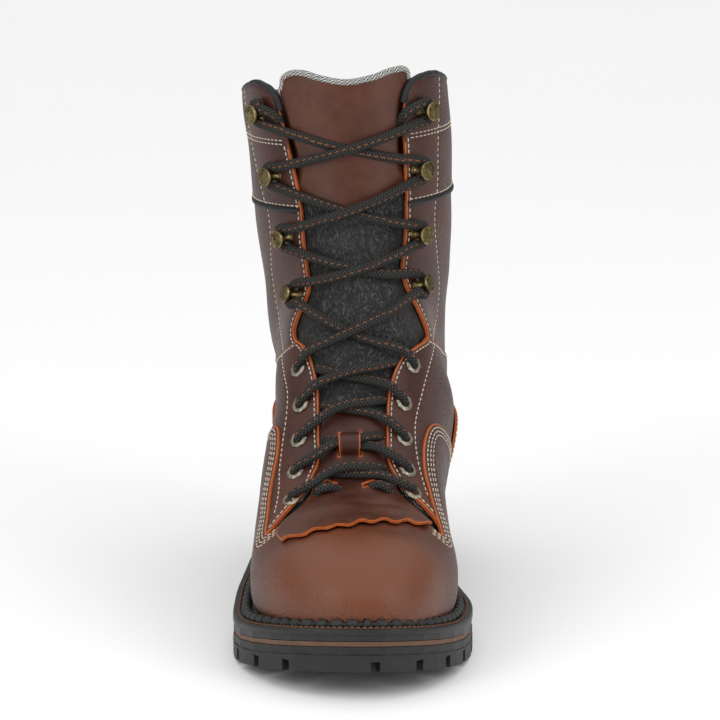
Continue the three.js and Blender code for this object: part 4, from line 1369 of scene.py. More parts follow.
@dataclass(frozen=True)
class Braid:
    """Black round-braided lace with an orange tracer."""

    name: str = "braided_lace"
    dark: Colour = (0.0045, 0.0045, 0.0042)
    grey: Colour = (0.040, 0.039, 0.035)
    tracer: Colour = (0.27, 0.085, 0.026)
    pitch: float = 1.75
    strands: int = 6

    def material(self) -> bpy.types.Material:
        """Builds the material.

        Returns:
            The material.
        """
        g = Graph(self.name)
        run, angle, fleck = g.number("run"), g.number("angle"), g.number("fleck")
        along = run * (math.pi / self.pitch)
        one = along.math("SINE", along + angle * (self.strands / 2))
        two = along.math("SINE", along - angle * (self.strands / 2))
        plait = one.math("MAXIMUM", one.math("ABSOLUTE", one), two.math("ABSOLUTE", two))
        plait = plait.span(0.55, 1.0)
        fuzz = g.noise(g.place(), 0.35, 3.0, 0.65)
        colour = g.mix(self.dark, self.grey, (plait * 0.75 + fuzz * 0.55 - 0.2).span(0.05, 1.0))
        colour = g.mix(colour, self.tracer, fleck.span(0.45, 0.75))
        return g.finish({"Base Color": colour, "Roughness": 0.82,
                         "Normal": g.bump(plait + fuzz * 0.4, 0.5), "Specular IOR Level": 0.3})


@dataclass(frozen=True)
class Rubber:
    """Matt moulded rubber, one colour with a light dusting."""

    name: str
    dark: Colour = (0.0085, 0.0085, 0.0085)
    grey: Colour = (0.030, 0.029, 0.028)
    rough: float = 0.55

    def material(self) -> bpy.types.Material:
        """Builds the material.

        Returns:
            The material.
        """
        g = Graph(self.name)
        p = g.place()
        fine = g.noise(p, 0.55, 3.0, 0.7)
        cloud = g.noise(p, 14.0, 4.0, 0.6)
        rub = g.noise(g.stretch(p, (0.25, 0.25, 2.2)), 2.2, 3.0, 0.6)
        colour = g.mix(self.dark, self.grey, (cloud * 0.5 + fine * 0.3 + rub * 0.35).span(0.42, 0.95))
        rough = self.rough + (cloud - 0.5) * 0.25
        return g.finish({"Base Color": colour, "Roughness": rough,
                         "Normal": g.bump(fine * 0.6 + rub * 0.5, 0.14),
                         "Specular IOR Level": 0.4})


@dataclass(frozen=True)
class OldMetal:
    """Worn metal, darker in its grooves."""

    name: str
    bright: Colour
    dull: Colour
    rough: float = 0.34

    def material(self) -> bpy.types.Material:
        """Builds the material.

        Returns:
            The material.
        """
        g = Graph(self.name)
        p = g.place()
        patch = g.noise(p, 1.8, 4.0, 0.65)
        fine = g.noise(p, 0.35, 3.0, 0.6)
        colour = g.mix(self.dull, self.bright, (patch * 0.8 + fine * 0.3).span(0.35, 0.75))
        return g.finish({"Base Color": colour, "Metallic": 1.0,
                         "Roughness": self.rough + (1 - patch) * 0.16,
                         "Normal": g.bump(fine, 0.05)})


class Finishes:
    """Every finish of the boot, made once."""

    def __init__(self) -> None:
        """Makes the materials."""
        self.leather = OiledLeather("oiled_leather").material()
        self.kiltie = OiledLeather("kiltie_leather", pebble=0.15, rough=0.42).material()
        self.tongue_top = OiledLeather("tongue_leather", pebble=0.12, rough=0.42).material()
        self.edge = RawEdge().material()
        self.black = SoftBlack().material()
        self.edging = RolledEdge().material()
        self.lining = Herringbone().material()
        self.white = Yarn("white_thread", (0.66, 0.58, 0.47), (0.34, 0.28, 0.22)).material()
        self.brown = Yarn("brown_thread", (0.13, 0.062, 0.032), (0.035, 0.017, 0.010)).material()
        self.dark_thread = Yarn("black_thread", (0.012, 0.012, 0.012), (0.004, 0.004, 0.004)).material()
        self.lace = Braid().material()
        self.rubber = Rubber("black_rubber").material()
        self.ply = Rubber("black_ply", grey=(0.026, 0.0255, 0.025), rough=0.45).material()
        self.tan = Rubber("tan_ply", (0.10, 0.050, 0.028), (0.20, 0.105, 0.062), 0.62).material()
        self.insole = OiledLeather("insole_leather", (0.20, 0.11, 0.06), (0.34, 0.21, 0.13),
                                   (0.42, 0.27, 0.16), (0.30, 0.22, 0.16), (0.34, 0.21, 0.13),
                                   0.3, 0.7).material()
        self.brass = OldMetal("old_brass", (0.42, 0.33, 0.15), (0.075, 0.056, 0.026), 0.3).material()
        self.nickel = OldMetal("old_nickel", (0.46, 0.43, 0.35), (0.12, 0.105, 0.08), 0.34).material()


# The boot's pieces.

@dataclass
class Sheet:
    """A piece of leather or cloth cut from the form, with its own thickness and cut edge."""

    name: str
    net: Net
    cut: Array
    lift: Lift
    ply: float
    looks: Sequence[bpy.types.Material]
    slot: str
    replaces: Sequence[str] = ()
    roll: float = 0.4
    roll_width: float = 0.8
    warm: float = 0.0
    raw_below: float = 900.0

    def build(self) -> bpy.types.Object:
        """Cuts the net, lays the outer and inner faces and walls the cut edge.

        Returns:
            The piece.
        """
        form = self.net.form
        s, t, rim, faces = trimmed(self.net, self.cut)
        lift = self.lift(s, t)
        outer = form.offset(s, t, lift - self.roll * np.exp(-rim / self.roll_width))
        inner = form.offset(s, t, lift - self.ply)
        here = Net(form, s, t)
        back = smooth(here.s, 6.4, 7.6)
        facing = (back * (1 - smooth(here.outer_row(), -0.5, 1.0))
                  + (1 - back) * (1 - smooth(np.abs(here.t), 0.12, 0.5)))
        # toe is a painted highlight over the toe box, strongest low at the front, fading out by the
        # kiltie's foot where its shade falls. The facing number also runs along the toe's top and adds to
        # the same lightening; along the real facings it is their redder tone.
        toe = smooth(s, 6.4, 3.0) + 0.5 * smooth(outer[:, 2], 95, 55) * smooth(outer[:, 1], 20, -40)
        warm = np.clip(self.warm + toe + 0.3 * facing, 0, 1.3)
        numbers = {"rim": rim + 3 * smooth(here.level(), self.raw_below, self.raw_below + 1.5),
                   "facing": facing, "warm": warm,
                   "weft": t * TURN + 0 * s, "warp": outer[:, 2]}
        mesh = Mesh(self.name)
        count = len(s)
        mesh.add(outer, faces, 0, **numbers)
        mesh.add(inner, [], 0, **{**numbers, "rim": rim * 0 + 9})
        back = len(self.looks) - 1 if len(self.looks) > 2 else 1
        mesh.faces.extend(tuple(i + count for i in reversed(face)) for face in faces)
        mesh.looks.extend([back] * len(faces))
        sides = set()
        for face in faces:
            for a, b in zip(face, face[1:] + face[:1]):
                sides.add((a, b))
        for a, b in sides:
            if (b, a) not in sides:
                mesh.faces.append((b, a, a + count, b + count))
                mesh.looks.append(1)
        return mesh.build(self.looks, self.slot, self.replaces)


@dataclass
class Upper:
    """The leather upper: shaft, lower quarter, vamp with its wings, counter, lining and edging."""

    form: Form
    finishes: Finishes
    thread: Thread
    row_inset: float = 1.9
    wing_rows: tuple[float, ...] = (2.0, 4.0, 6.0)
    counter_rows: tuple[float, ...] = (2.0, 4.2)
    piping_level: float = 204.4
    collar_rows: tuple[float, ...] = (238.2, 240.2)
    edging_from: float = 22.6

    def __post_init__(self) -> None:
        """Makes the panels' outlines."""
        self.quarter = Outline(self.form, QUARTER_TOP)
        self.vamp = Outline(self.form, VAMP_EDGE)
        self.counter = Outline(self.form, COUNTER_EDGE)

    def groove(self, gap: Array) -> Array:
        """The dent that a stitch row pulls into the leather."""
        return -0.25 * bell(gap, 0.9)

    def shaft_lift(self, s: Array, t: Array) -> Array:
        """The shaft's outer face."""
        net = Net(self.form, s, t)
        return (self.form.creases(s, t) + self.groove(net.throat() + self.row_inset)
                + self.groove(net.outer_row())
                + 0.5 * smooth(net.level(), self.piping_level, self.piping_level + 3)
                + sum(self.groove(net.level() - row) for row in self.collar_rows))

    def quarter_lift(self, s: Array, t: Array) -> Array:
        """The lower quarter's outer face."""
        net = Net(self.form, s, t)
        flare = 1.1 * smooth(net.s, 9.0, 8.0) * bell(net.throat(), 9)
        return (self.form.quarter_step + self.form.creases(s, t) + flare
                + self.groove(net.throat() + self.row_inset) + self.groove(net.outer_row())
                + self.groove(self.quarter.distance(net.point) + self.row_inset))

    def vamp_lift(self, s: Array, t: Array) -> Array:
        """The vamp's outer face, lower where the kiltie lies on it."""
        gap = self.vamp.distance(self.form.point(s, t))
        seat = 1.3 * smooth(s, 6.5, 7.1) * smooth(np.abs(t), 0.27, 0.22)
        return (self.form.vamp_lift + self.form.creases(s, t) - seat
                + sum(self.groove(gap + row) for row in self.wing_rows))

    def counter_lift(self, s: Array, t: Array) -> Array:
        """The counter's outer face, standing off a little at its front edge."""
        gap = self.counter.distance(self.form.point(s, t))
        return (self.form.quarter_step + self.form.seam + self.form.overlay + 0.5 * bell(gap, 5)
                + self.form.creases(s, t) + sum(self.groove(gap + row) for row in self.counter_rows))

    def build(self) -> None:
        """Builds every panel and sews its rows."""
        self.shaft()
        self.lower_quarter()
        self.toe_and_wings()
        self.heel()
        self.lining()
        self.strip()
        self.binding()

    def shaft(self) -> None:
        """The shaft above the lower quarter."""
        form, looks = self.form, self.finishes
        end = form.last + 0.25
        net = Net.over(form, (11.0, end, 150), (0.12, 1.88, 230))
        cut = np.maximum(net.rim(), -self.quarter.distance(net.point) - 9)
        Sheet("shaft", net, cut, self.shaft_lift, form.wall, [looks.leather, looks.edge, looks.edging],
              "upper_leather", ["upper"], roll=0.6, raw_below=self.collar_rows[0] - 2).build()
        row = Net.over(form, (12.2, end, 170), (0.1, 1.9, 280))

        def above(net: Net) -> Array:
            """Where the shaft shows above the lower quarter."""
            return self.quarter.distance(net.point) > 0.6
        self.thread.follow(row, row.throat() + self.row_inset, self.shaft_lift,
                           lambda n: above(n) & (n.level() < self.collar_rows[0]))
        self.thread.follow(row, row.outer_row(), self.shaft_lift,
                           lambda n: above(n) & (n.rim() < -1.2))
        for level in self.collar_rows:
            self.thread.follow(row, row.level() - level, self.shaft_lift,
                               lambda n: n.throat() < -self.row_inset + 0.2)
        self.thread.follow(row, row.level() - self.piping_level - 2.4, self.shaft_lift,
                           lambda n: n.throat() < -1.0)

    def lower_quarter(self) -> None:
        """The lower quarter with its arched top and spread front edges."""
        form, looks = self.form, self.finishes
        net = Net.over(form, (6.9, 19.5, 190), (0.1, 1.9, 270))
        cut = np.maximum.reduce([net.throat(), self.quarter.distance(net.point), net.above_sole()])
        Sheet("lower_quarter", net, cut, self.quarter_lift, form.wall, [looks.leather, looks.edge],
              "upper_leather", roll=0.6).build()

        def shown(net: Net) -> Array:
            """Where the lower quarter isn't covered."""
            return (self.quarter.distance(net.point) < -1.0) & (self.vamp.distance(net.point) > 0.8)
        self.thread.follow(net, net.throat() + self.row_inset, self.quarter_lift, shown)
        self.thread.follow(net, net.outer_row(), self.quarter_lift,
                           lambda n: shown(n) & (n.s > 7.9) & (n.throat() < -2))
        self.thread.follow(net, self.quarter.distance(net.point) + self.row_inset, self.quarter_lift,
                           lambda n: (n.throat() < -self.row_inset) & (self.vamp.distance(n.point) > 0.8))

    def toe_and_wings(self) -> None:
        """The vamp: the toe and the wings that run back from it."""
        form, looks = self.form, self.finishes
        net = Net.over(form, (0.05, 14.0, 180), (-0.8, 0.8, 240))
        cut = np.maximum(self.vamp.distance(net.point), net.above_sole())
        Sheet("vamp", net, cut, self.vamp_lift, 1.9, [looks.leather, looks.edge], "upper_leather",
              ["upper"], roll=0.5).build()
        for inset in self.wing_rows:
            self.thread.follow(net, self.vamp.distance(net.point) + inset, self.vamp_lift,
                               lambda n: (n.above_sole() < -2) & (np.abs(n.t) > 0.262))

    def heel(self) -> None:
        """The counter round the heel."""
        form, looks = self.form, self.finishes
        net = Net.over(form, (9.5, 18.0, 120), (0.3, 1.7, 190))
        cut = np.maximum(self.counter.distance(net.point), net.above_sole())
        Sheet("heel_counter", net, cut, self.counter_lift, form.overlay, [looks.leather, looks.edge],
              "overlay_leather", ["counter"]).build()
        for inset in self.counter_rows:
            self.thread.follow(net, self.counter.distance(net.point) + inset, self.counter_lift,
                               lambda n: n.above_sole() < -2)

    def lining(self) -> None:
        """The herringbone lining inside the shaft and the foot."""
        form, looks = self.form, self.finishes
        net = Net.over(form, (8.0, form.last + 0.25, 100), (0.1, 1.9, 150))
        cut = np.maximum(net.rim() + 0.5, net.above_sole(4.5))
        Sheet("lining", net, cut, lambda s, t: -form.wall - 0.05 + 0 * s, 0.8,
              [looks.lining, looks.edging, looks.lining], "binding_leather", roll=0.0).build()

    def strip(self) -> None:
        """The black piping round the shaft."""
        form, looks = self.form, self.finishes
        net = Net.over(form, (17.0, 22.2, 160), (0.12, 1.88, 230))
        cut = np.maximum(net.throat() + 0.9, np.abs(net.level() - self.piping_level) - 1.5)

        def lift(s: Array, t: Array) -> Array:
            """The strip's rounded face."""
            gap = np.clip(np.abs(Net(form, s, t).level() - self.piping_level) / 1.55, 0, 1)
            return 0.2 + 1.25 * np.sqrt(1 - gap ** 2)
        Sheet("shaft_piping", net, cut, lift, 0.3, [looks.edging, looks.edging], "binding_leather",
              ["piping"], roll=0.0, raw_below=0).build()

    def binding(self) -> None:
        """The rolled edging inside the collar's rim and down the front edges."""
        form = self.form
        net = Net.over(form, (21.5, form.last + 0.4, 90), (0.06, 1.94, 300))
        line = max(contours(net, net.rim() - 0.7), key=len)
        line = line[line[:, 0] > self.edging_from]
        path = form.offset(line[:, 0], line[:, 1], -1.35 + 0 * line[:, 0])
        up = form.normal(line[:, 0], line[:, 1])
        path, up = resampled(path, 1.2, [up])
        mesh = Mesh("rolled_binding")
        swell = 1 + 0.05 * np.sin(np.arange(len(path)) * 0.9)
        tube(mesh, path, up, 1.75 * swell, 1.75 * swell, 14)
        mesh.build([self.finishes.edging], "binding_leather", ["collar_binding"])


@dataclass
class Tongue:
    """The tongue with its black middle, brown top and the scalloped kiltie."""

    form: Form
    finishes: Finishes
    thread: Thread
    strap: tuple[float, float] = (-0.051, 0.022)
    strap_rows: tuple[float, float] = (9.02, 9.6)
    arch: float = 6.9
    slit: float = 0.8
    seam_at: float = 12.0
    kiltie_end: float = 0.402

    def __post_init__(self) -> None:
        """Works out the kiltie's curves."""
        self.kiltie_top = self.form.section_at_front(self.kiltie_end)
        self.under = -self.form.wall - self.form.tongue_gap
        self.sides = {side: Curve(*zip(*KILTIE_SIDE[side])) for side in Side}
        self.scallops = Curve(*zip(*SCALLOPS))

    def across(self, s: Array, t: Array) -> Array:
        """The distance above the black tongue's cross seam."""
        return (s - self.seam_at - 0.8 * t - 4 * t ** 2) * 10

    def lift(self, s: Array, t: Array) -> Array:
        """The tongue's outer face with soft wrinkles in its middle.

        Args:
            s: section numbers.
            t: turns, 0 in front.

        Returns:
            The lift in mm.
        """
        middle = smooth(s, 8.5, 10) * (1 - smooth(s, 17.0, 18.2))
        fold = (0.6 * np.sin(2.9 * s + 14 * t) + 0.5 * np.sin(5.3 * s - 31 * t + 1.2)
                + 0.45 * np.sin(9.1 * s + 22 * t * np.cos(s)))
        gusset = 1.6 * smooth(s, 8.7, 7.6)
        dent = -0.8 * bell(self.across(s, t), 1.6)
        pad = 1.0 * smooth(s, 18.0, 19.5) * bell(t * TURN, 26)
        for side in Side:
            edge = self.form.throat_turn(np.maximum(s, 8.4), side, 0)
            tuck = smooth(side.value * t, edge - 0.022, edge + 0.008)
            pad = pad - 5.0 * tuck * smooth(s, 19.6, 20.9) * smooth(s, 24.0, 22.8)
        return self.under + 0.5 * middle * fold + 0.8 * bell(t * TURN, 16) + gusset + dent + pad

    def reach(self, net: Net) -> Array:
        """Signed distance outside the tongue's sides and its hollow top.

        Args:
            net: the net of places.

        Returns:
            The distance, minus inside.
        """
        made = np.full(net.s.shape, -99.0)
        for side in Side:
            wide = np.where(net.s > 8.4, self.form.throat_turn(np.maximum(net.s, 8.4), side, 7),
                            self.form.edge_turn(net.s, side) + 0.04)
            top = 0.205 if side is Side.LATERAL else 0.215
            wide = wide + (top - wide) * smooth(net.s, 22.2, 23.7)
            made = np.maximum(made, (side.value * net.t - wide) * TURN)
        top = Curve([-0.25, -0.2, -0.14, -0.08, 0.0, 0.09, 0.17, 0.21, 0.26],
                    [23.2, 23.85, 23.9, 23.6, 23.35, 23.5, 23.85, 23.9, 23.2])
        return np.maximum(made, (net.s - top(net.t)) * 11)

    def kiltie_lift(self, s: Array) -> Array:
        """The kiltie's inner face: over the vamp at its foot, on the tongue higher up."""
        low, high = self.form.vamp_lift + 0.15, self.under + 0.6
        return low + (high - low) * smooth(s, 6.95, 8.3)

    def kiltie_face(self, s: Array, t: Array) -> Array:
        """The kiltie's outer face with its curled end and the raised strap.

        Args:
            s: section numbers.
            t: turns, 0 in front.

        Returns:
            The lift in mm.
        """
        end = self.scallops(t)
        curl = 0.9 * np.exp(-np.clip(s - end, 0, 9) / 0.2)
        crease = -0.7 * bell((s - 7.3 - 1.5 * (t - 0.09)) * 11, 2.0) * bell((t - 0.08) * TURN, 12)
        low, high = self.strap_rows
        share = np.clip((s - low) / (high - low), 0, 1)
        inside = (t > self.strap[0]) & (t < self.strap[1])
        arch = np.where(inside, self.arch * np.sin(np.pi * share) ** 0.55, 0)
        middle = 0.6 * bell(t * TURN, 15) * smooth(s, 10.2, 8.4)
        wave = 0.35 * np.sin(3.1 * s + 19 * t) * bell(t * TURN, 22)
        return self.kiltie_lift(s) + self.form.overlay + curl + crease + arch + middle + wave

    def kiltie_cut(self, net: Net) -> Array:
        """Signed distance outside the kiltie.

        Args:
            net: the net of places.

        Returns:
            The distance, minus inside.
        """
        made = (self.scallops(net.t) - net.s) * 10
        for side in Side:
            made = np.maximum(made, (side.value * net.t - self.sides[side](net.s)) * TURN)
        corner = (net.s - self.kiltie_top) * 12 + 8 * smooth(np.abs(net.t), 0.105, 0.14)
        made = np.maximum(made, corner)
        low, high = self.strap_rows
        for turn in self.strap:
            hole = np.maximum(np.abs(net.t - turn) * TURN - self.slit / 2,
                              (np.abs(net.s - (low + high) / 2) - (high - low) / 2) * 12)
            made = np.maximum(made, -hole)
        for s, t, lean in ((8.24, -0.080, -0.9), (8.16, 0.047, 0.9)):
            along = (net.t - t) * TURN + (net.s - s) * 11 * lean * 0.35
            across = (net.s - s) * 11 - (net.t - t) * TURN * lean * 0.35
            hole = np.maximum(np.abs(along) - 3.6, np.abs(across) - 0.55)
            made = np.maximum(made, -hole)
        return made

    def build(self) -> None:
        """Builds the tongue, its brown top, its piped end and the kiltie."""
        form, looks = self.form, self.finishes
        net = Net.over(form, (6.7, 24.3, 170), (-0.42, 0.42, 130))
        Sheet("tongue_black", net, self.reach(net), self.lift, form.tongue_ply,
              [looks.black, looks.edging, looks.lining], "tongue_leather", ["tongue"]).build()
        dark = Thread("tongue_seam", 0.4, 3.4, 2.4)
        dark.follow(net, self.across(net.s, net.t), self.lift, lambda n: self.reach(n) < -3)
        dark.mesh.build([looks.dark_thread], "tongue_leather")
        foot = Curve([-0.3, -0.186, -0.1, -0.007, 0.08, 0.159, 0.3],
                     [20.6, 19.2, 18.45, 18.0, 18.2, 18.85, 20.2])
        net = Net.over(form, (17.4, 24.3, 110), (-0.36, 0.36, 120))
        cut = np.maximum(self.reach(net) + 0.8, (foot(net.t) - net.s) * 11)
        Sheet("tongue_top", net, cut, lambda s, t: self.lift(s, t) + 1.0, 0.9,
              [looks.tongue_top, looks.edging], "tongue_leather", warm=0.3, raw_below=0).build()
        self.trim(net)
        net = Net.over(form, (5.0, self.kiltie_top + 0.1, 240), (-0.3, 0.3, 250))
        Sheet("kiltie_flap", net, self.kiltie_cut(net), self.kiltie_face, form.overlay,
              [looks.kiltie, looks.edge], "overlay_leather", ["kiltie", "lace_keeper"],
              roll=0.3, roll_width=0.5, warm=-0.05).build()

    def trim(self, net: Net) -> None:
        """The herringbone band along the tongue's top edge.

        Args:
            net: the net of places.
        """
        form = self.form
        line = max(contours(net, np.maximum(self.reach(net) - 0.4, (20.5 - net.s) * 11)), key=len)
        line = line[line[:, 0] > 22.6]
        path = form.offset(line[:, 0], line[:, 1], self.lift(line[:, 0], line[:, 1]) - 0.7)
        up = form.normal(line[:, 0], line[:, 1])
        path, up = resampled(path, 0.8, [up])
        mesh = Mesh("tongue_rim")
        tube(mesh, path, up, 1.7, 1.9, 16, weft=lambda run, angle: run * 1.5 + 0 * angle,
             warp=lambda run, angle: angle * 1.8 + run * 0.9)
        mesh.build([self.finishes.lining], "binding_leather")


@dataclass
class Lacing:
    """Eyelets, hooks and the lace that runs through them."""

    form: Form
    finishes: Finishes
    tongue: Tongue
    eyelet: float = 9.8
    hole: float = 5.0
    head: float = 9.6
    shank: float = 2.5
    lace: float = 5.0
    thick: float = 4.1

    def rest(self, s: float) -> float:
        """The height of the lace's middle where it lies on the kiltie or the tongue.

        Args:
            s: section numbers.

        Returns:
            The height in mm.
        """
        flap = float(self.tongue.kiltie_lift(np.array(s))) + self.form.overlay + 0.7 + self.thick / 2
        bare = self.tongue.under + 1.0 + self.thick / 2
        share = float(smooth(s, self.tongue.kiltie_top - 0.1, self.tongue.kiltie_top + 0.6))
        return flap + (bare - flap) * share

    def at(self, x: float, z: float, lift: Union[float, Callable[[float], float]],
           wide: float = 1.0, tall: float = 1.0) -> Array:
        """A point, its normal and the lace's shape over a place given by x and z."""
        s, t = self.form.front_place(x, z)
        high = lift(s) if callable(lift) else lift
        return np.concatenate([self.form.offset(s, t, high), self.form.normal(s, t), [wide, tall]])

    def stand(self, row: int, side: Side) -> tuple[Array, Array, Array, Array]:
        """An eyelet's or hook's foot, its axis, the way to the boot's middle and the way up.

        Args:
            row: row number, 0 lowest.
            side: the boot's side.

        Returns:
            The foot, the axis, the way inward and the way up.
        """
        s, t, _ = self.form.lacing_place(row, side)
        axis = self.form.normal(s, t)
        inward = np.array([-side.value, 0.0, 0.0])
        inward = inward - axis * (inward @ axis)
        inward = inward / np.linalg.norm(inward)
        rise = np.cross(axis, inward) * side.value
        rise = rise if rise[2] > 0 else -rise
        return self.form.point(s, t), axis, inward, rise

    def wrap(self, row: int, side: Side) -> list[Array]:
        """The lace's way round one hook's shank, from below to above.

        Args:
            row: row number, 0 lowest.
            side: the boot's side.

        Returns:
            The knots.
        """
        foot, axis, inward, rise = self.stand(row, side)
        r = self.shank + self.lace / 2 + 0.1
        made = []
        for ahead, turn in ((3.2, -90), (0.0, -90), (0.0, -45), (0.0, 0), (0.0, 45), (0.0, 90), (3.2, 90)):
            angle = math.radians(turn)
            place = (foot + axis * 3.4 + inward * (ahead - r * math.cos(angle))
                     + rise * r * math.sin(angle))
            made.append(np.concatenate([place, axis, [1.0, 0.95]]))
        return made

    def out_of(self, row: int, side: Side, climb: float) -> list[Array]:
        """The lace's way out of one eyelet and over the leather's edge.

        Args:
            row: row number, 0 lowest.
            side: the boot's side.
            climb: the rise to the edge, in mm.

        Returns:
            The knots.
        """
        foot, axis, inward, rise = self.stand(row, side)
        made = [np.concatenate([foot + axis * h + inward * a + rise * b, axis, [w, 1.0]])
                for h, a, b, w in ((-2.4, -0.4, -0.4, 0.8), (0.6, -0.1, 0.0, 0.8), (2.6, 0.9, 1.0, 0.88))]
        s, _, x = self.form.lacing_place(row, side)
        edge = float(self.form.throat_x(s, side))
        z = float(foot[2])
        centre = float(foot[0]) - side.value * x
        for share, high in ((0.5, 3.9), (1.0, 3.8)):
            there = centre + side.value * (x + (edge - 0.3 - x) * share)
            made.append(self.at(there, z + climb * share, high))
        return made

    def into(self, row: int, side: Side) -> list[Array]:
        """The lace's way under the leather's edge to one eyelet from inside.

        Args:
            row: row number, 0 lowest.
            side: the boot's side.

        Returns:
            The knots.
        """
        foot, axis, _, _ = self.stand(row, side)
        s, _, x = self.form.lacing_place(row, side)
        edge = float(self.form.throat_x(s, side))
        z = float(foot[2])
        centre = float(foot[0]) - side.value * x
        up = 3.0 if side is Side.MEDIAL else 1.7
        return [self.at(centre + side.value * (edge - 3.0), z + up,
                        lambda q: min(self.rest(q), -1.2), 1.0, 0.9),
                self.at(centre + side.value * (edge + 1.6), z + up - 0.4, -4.3, 0.95, 0.85),
                np.concatenate([foot - axis * 4.8, axis, [0.85, 0.9]])]

    def run(self, name: str, start: Side, over: float) -> None:
        """Builds one half of the lace, from the lowest eyelet of a side to a top hook.

        Args:
            name: the piece's name.
            start: the side it starts on.
            over: the rise where it passes over.
        """
        rows = len(LACING_ROWS)
        points: list[Array] = []
        side = start
        for row in range(rows):
            other = Side.MEDIAL if side is Side.LATERAL else Side.LATERAL
            if row < EYELET_ROWS:
                if row:
                    points += self.into(row, side)
                rise = self.stand(min(row + 1, rows - 1), other)[0][2] - self.stand(row, side)[0][2]
                points += self.out_of(row, side, (0.50 if row < EYELET_ROWS - 1 else 0.2) * rise)
            else:
                points += self.wrap(row, side)
            if row == rows - 1:
                break
            begin = points[-1]
            ahead = self.into(row + 1, other) if row + 1 < EYELET_ROWS else self.wrap(row + 1, other)
            finish = ahead[0]
            up = over if side is Side.LATERAL else 0.0
            under_strap = row == 1
            for share in (0.25, 0.5, 0.75):
                x, z = (begin + (finish - begin) * share)[[0, 2]]
                peak = math.sin(math.pi * share)
                sag = 0.9 * peak if row + 1 < EYELET_ROWS else -1.0 * peak
                flat = 0.62 if under_strap and share == 0.5 else 1.0
                gain = up * (peak ** 2) * (0.6 if under_strap else 1.0)
                drop = -1.2 if under_strap and share == 0.5 else 0.0
                points.append(self.at(x, z + sag, lambda q, g=gain + drop: self.rest(q) + g, 1.0, flat))
            side = other
        self.cord(name, points, [f"lace_cross_{k}" for k in range(1, rows)])

    def cord(self, name: str, points: Sequence[Array], nodes: Sequence[str] = ()) -> tuple[Any, Array]:
        """Builds a braided cord through points with their normals and shapes.

        Args:
            name: the piece's name.
            points: the points, one a row.
            nodes: the solids, by name or to stand for.

        Returns:
            The piece and its path.
        """
        line = spline(points, 12)
        path, up, shape = resampled(line[:, :3], 0.9, [line[:, 3:6], line[:, 6:8]])
        mesh = Mesh(name)
        sides = 20

        def fleck(run: Array, angle: Array) -> Array:
            """One narrow broken line that wanders slowly round the lace."""
            column = np.round((1.35 + 0.5 * np.sin(run / 23)) / (2 * np.pi) * sides) % sides
            here = np.round(angle / (2 * np.pi) * sides) % sides
            return ((run % 3.6) < 1.9) * (column == here) * 1.0
        tube(mesh, path, up, 0.5 * self.lace * shape[:, 0], 0.5 * self.thick * shape[:, 1], sides,
             run=lambda run, angle: run + 0 * angle, angle=lambda run, angle: angle + 0 * run, fleck=fleck)
        piece = mesh.build([self.finishes.lace], "lace_cord", nodes)
        return piece, path

    def tails(self) -> None:
        """The two short ends that turn back at the top hooks and tuck in behind the edging."""
        row = len(LACING_ROWS) - 1
        for side in Side:
            last = self.wrap(row, side)[-1]
            s, _, x = self.form.lacing_place(row, side)
            rim = float(self.form.throat_x(s, side))
            centre = float(last[0]) - side.value * (x - 3.2)
            z = float(last[2])
            points = [last]
            for out, drop, lift in ((0.45 * x + 0.55 * rim, -0.6, 4.6), (rim - 0.4, -2.2, 3.7),
                                    (rim - 3.9, -5.6, 0.6), (rim - 4.2, -10.6, -3.0),
                                    (rim - 1.6, -16.2, -5.2), (rim + 1.4, -21.6, -5.7),
                                    (rim + 2.8, -27.6, -5.7)):
                points.append(self.at(centre + side.value * out, z + drop, lift))
            piece, path = self.cord(f"lace_tail_{side.word}", points, [f"lace_end_{side.word}"])
            tuple(path[0] * MM)
            self.lace * MM
            (path * MM).tolist()

    def bar(self) -> None:
        """The lowest run of the lace: two stubs that dive into slits of the kiltie."""
        points = []
        for side in Side:
            foot, axis, _, _ = self.stand(0, side)
            s, _, x = self.form.lacing_place(0, side)
            edge = float(self.form.throat_x(s + 0.4, side))
            centre = float(foot[0]) - side.value * x
            z = float(foot[2]) + (5.0 if side is Side.LATERAL else 3.2)
            half = [np.concatenate([foot - axis * 4.6, axis, [0.85, 0.9]]),
                    self.at(centre + side.value * (edge + 0.5), z - 1.5, -2.4, 0.95, 0.9),
                    self.at(centre + side.value * (edge - 4.0), z, lambda q: self.rest(q) - 0.7),
                    self.at(centre + side.value * 12.0, z + 1.2, lambda q: self.rest(q) - 0.5),
                    self.at(centre + side.value * 8.6, z + 1.8, lambda q: self.rest(q) - 2.6, 0.9, 0.8),
                    self.at(centre + side.value * 5.0, z + 1.8, lambda q: self.rest(q) - 4.8, 0.9, 0.6)]
            points += half if side is Side.LATERAL else half[::-1]
        self.cord("lace_low_bar", points, ["lace_bar"])

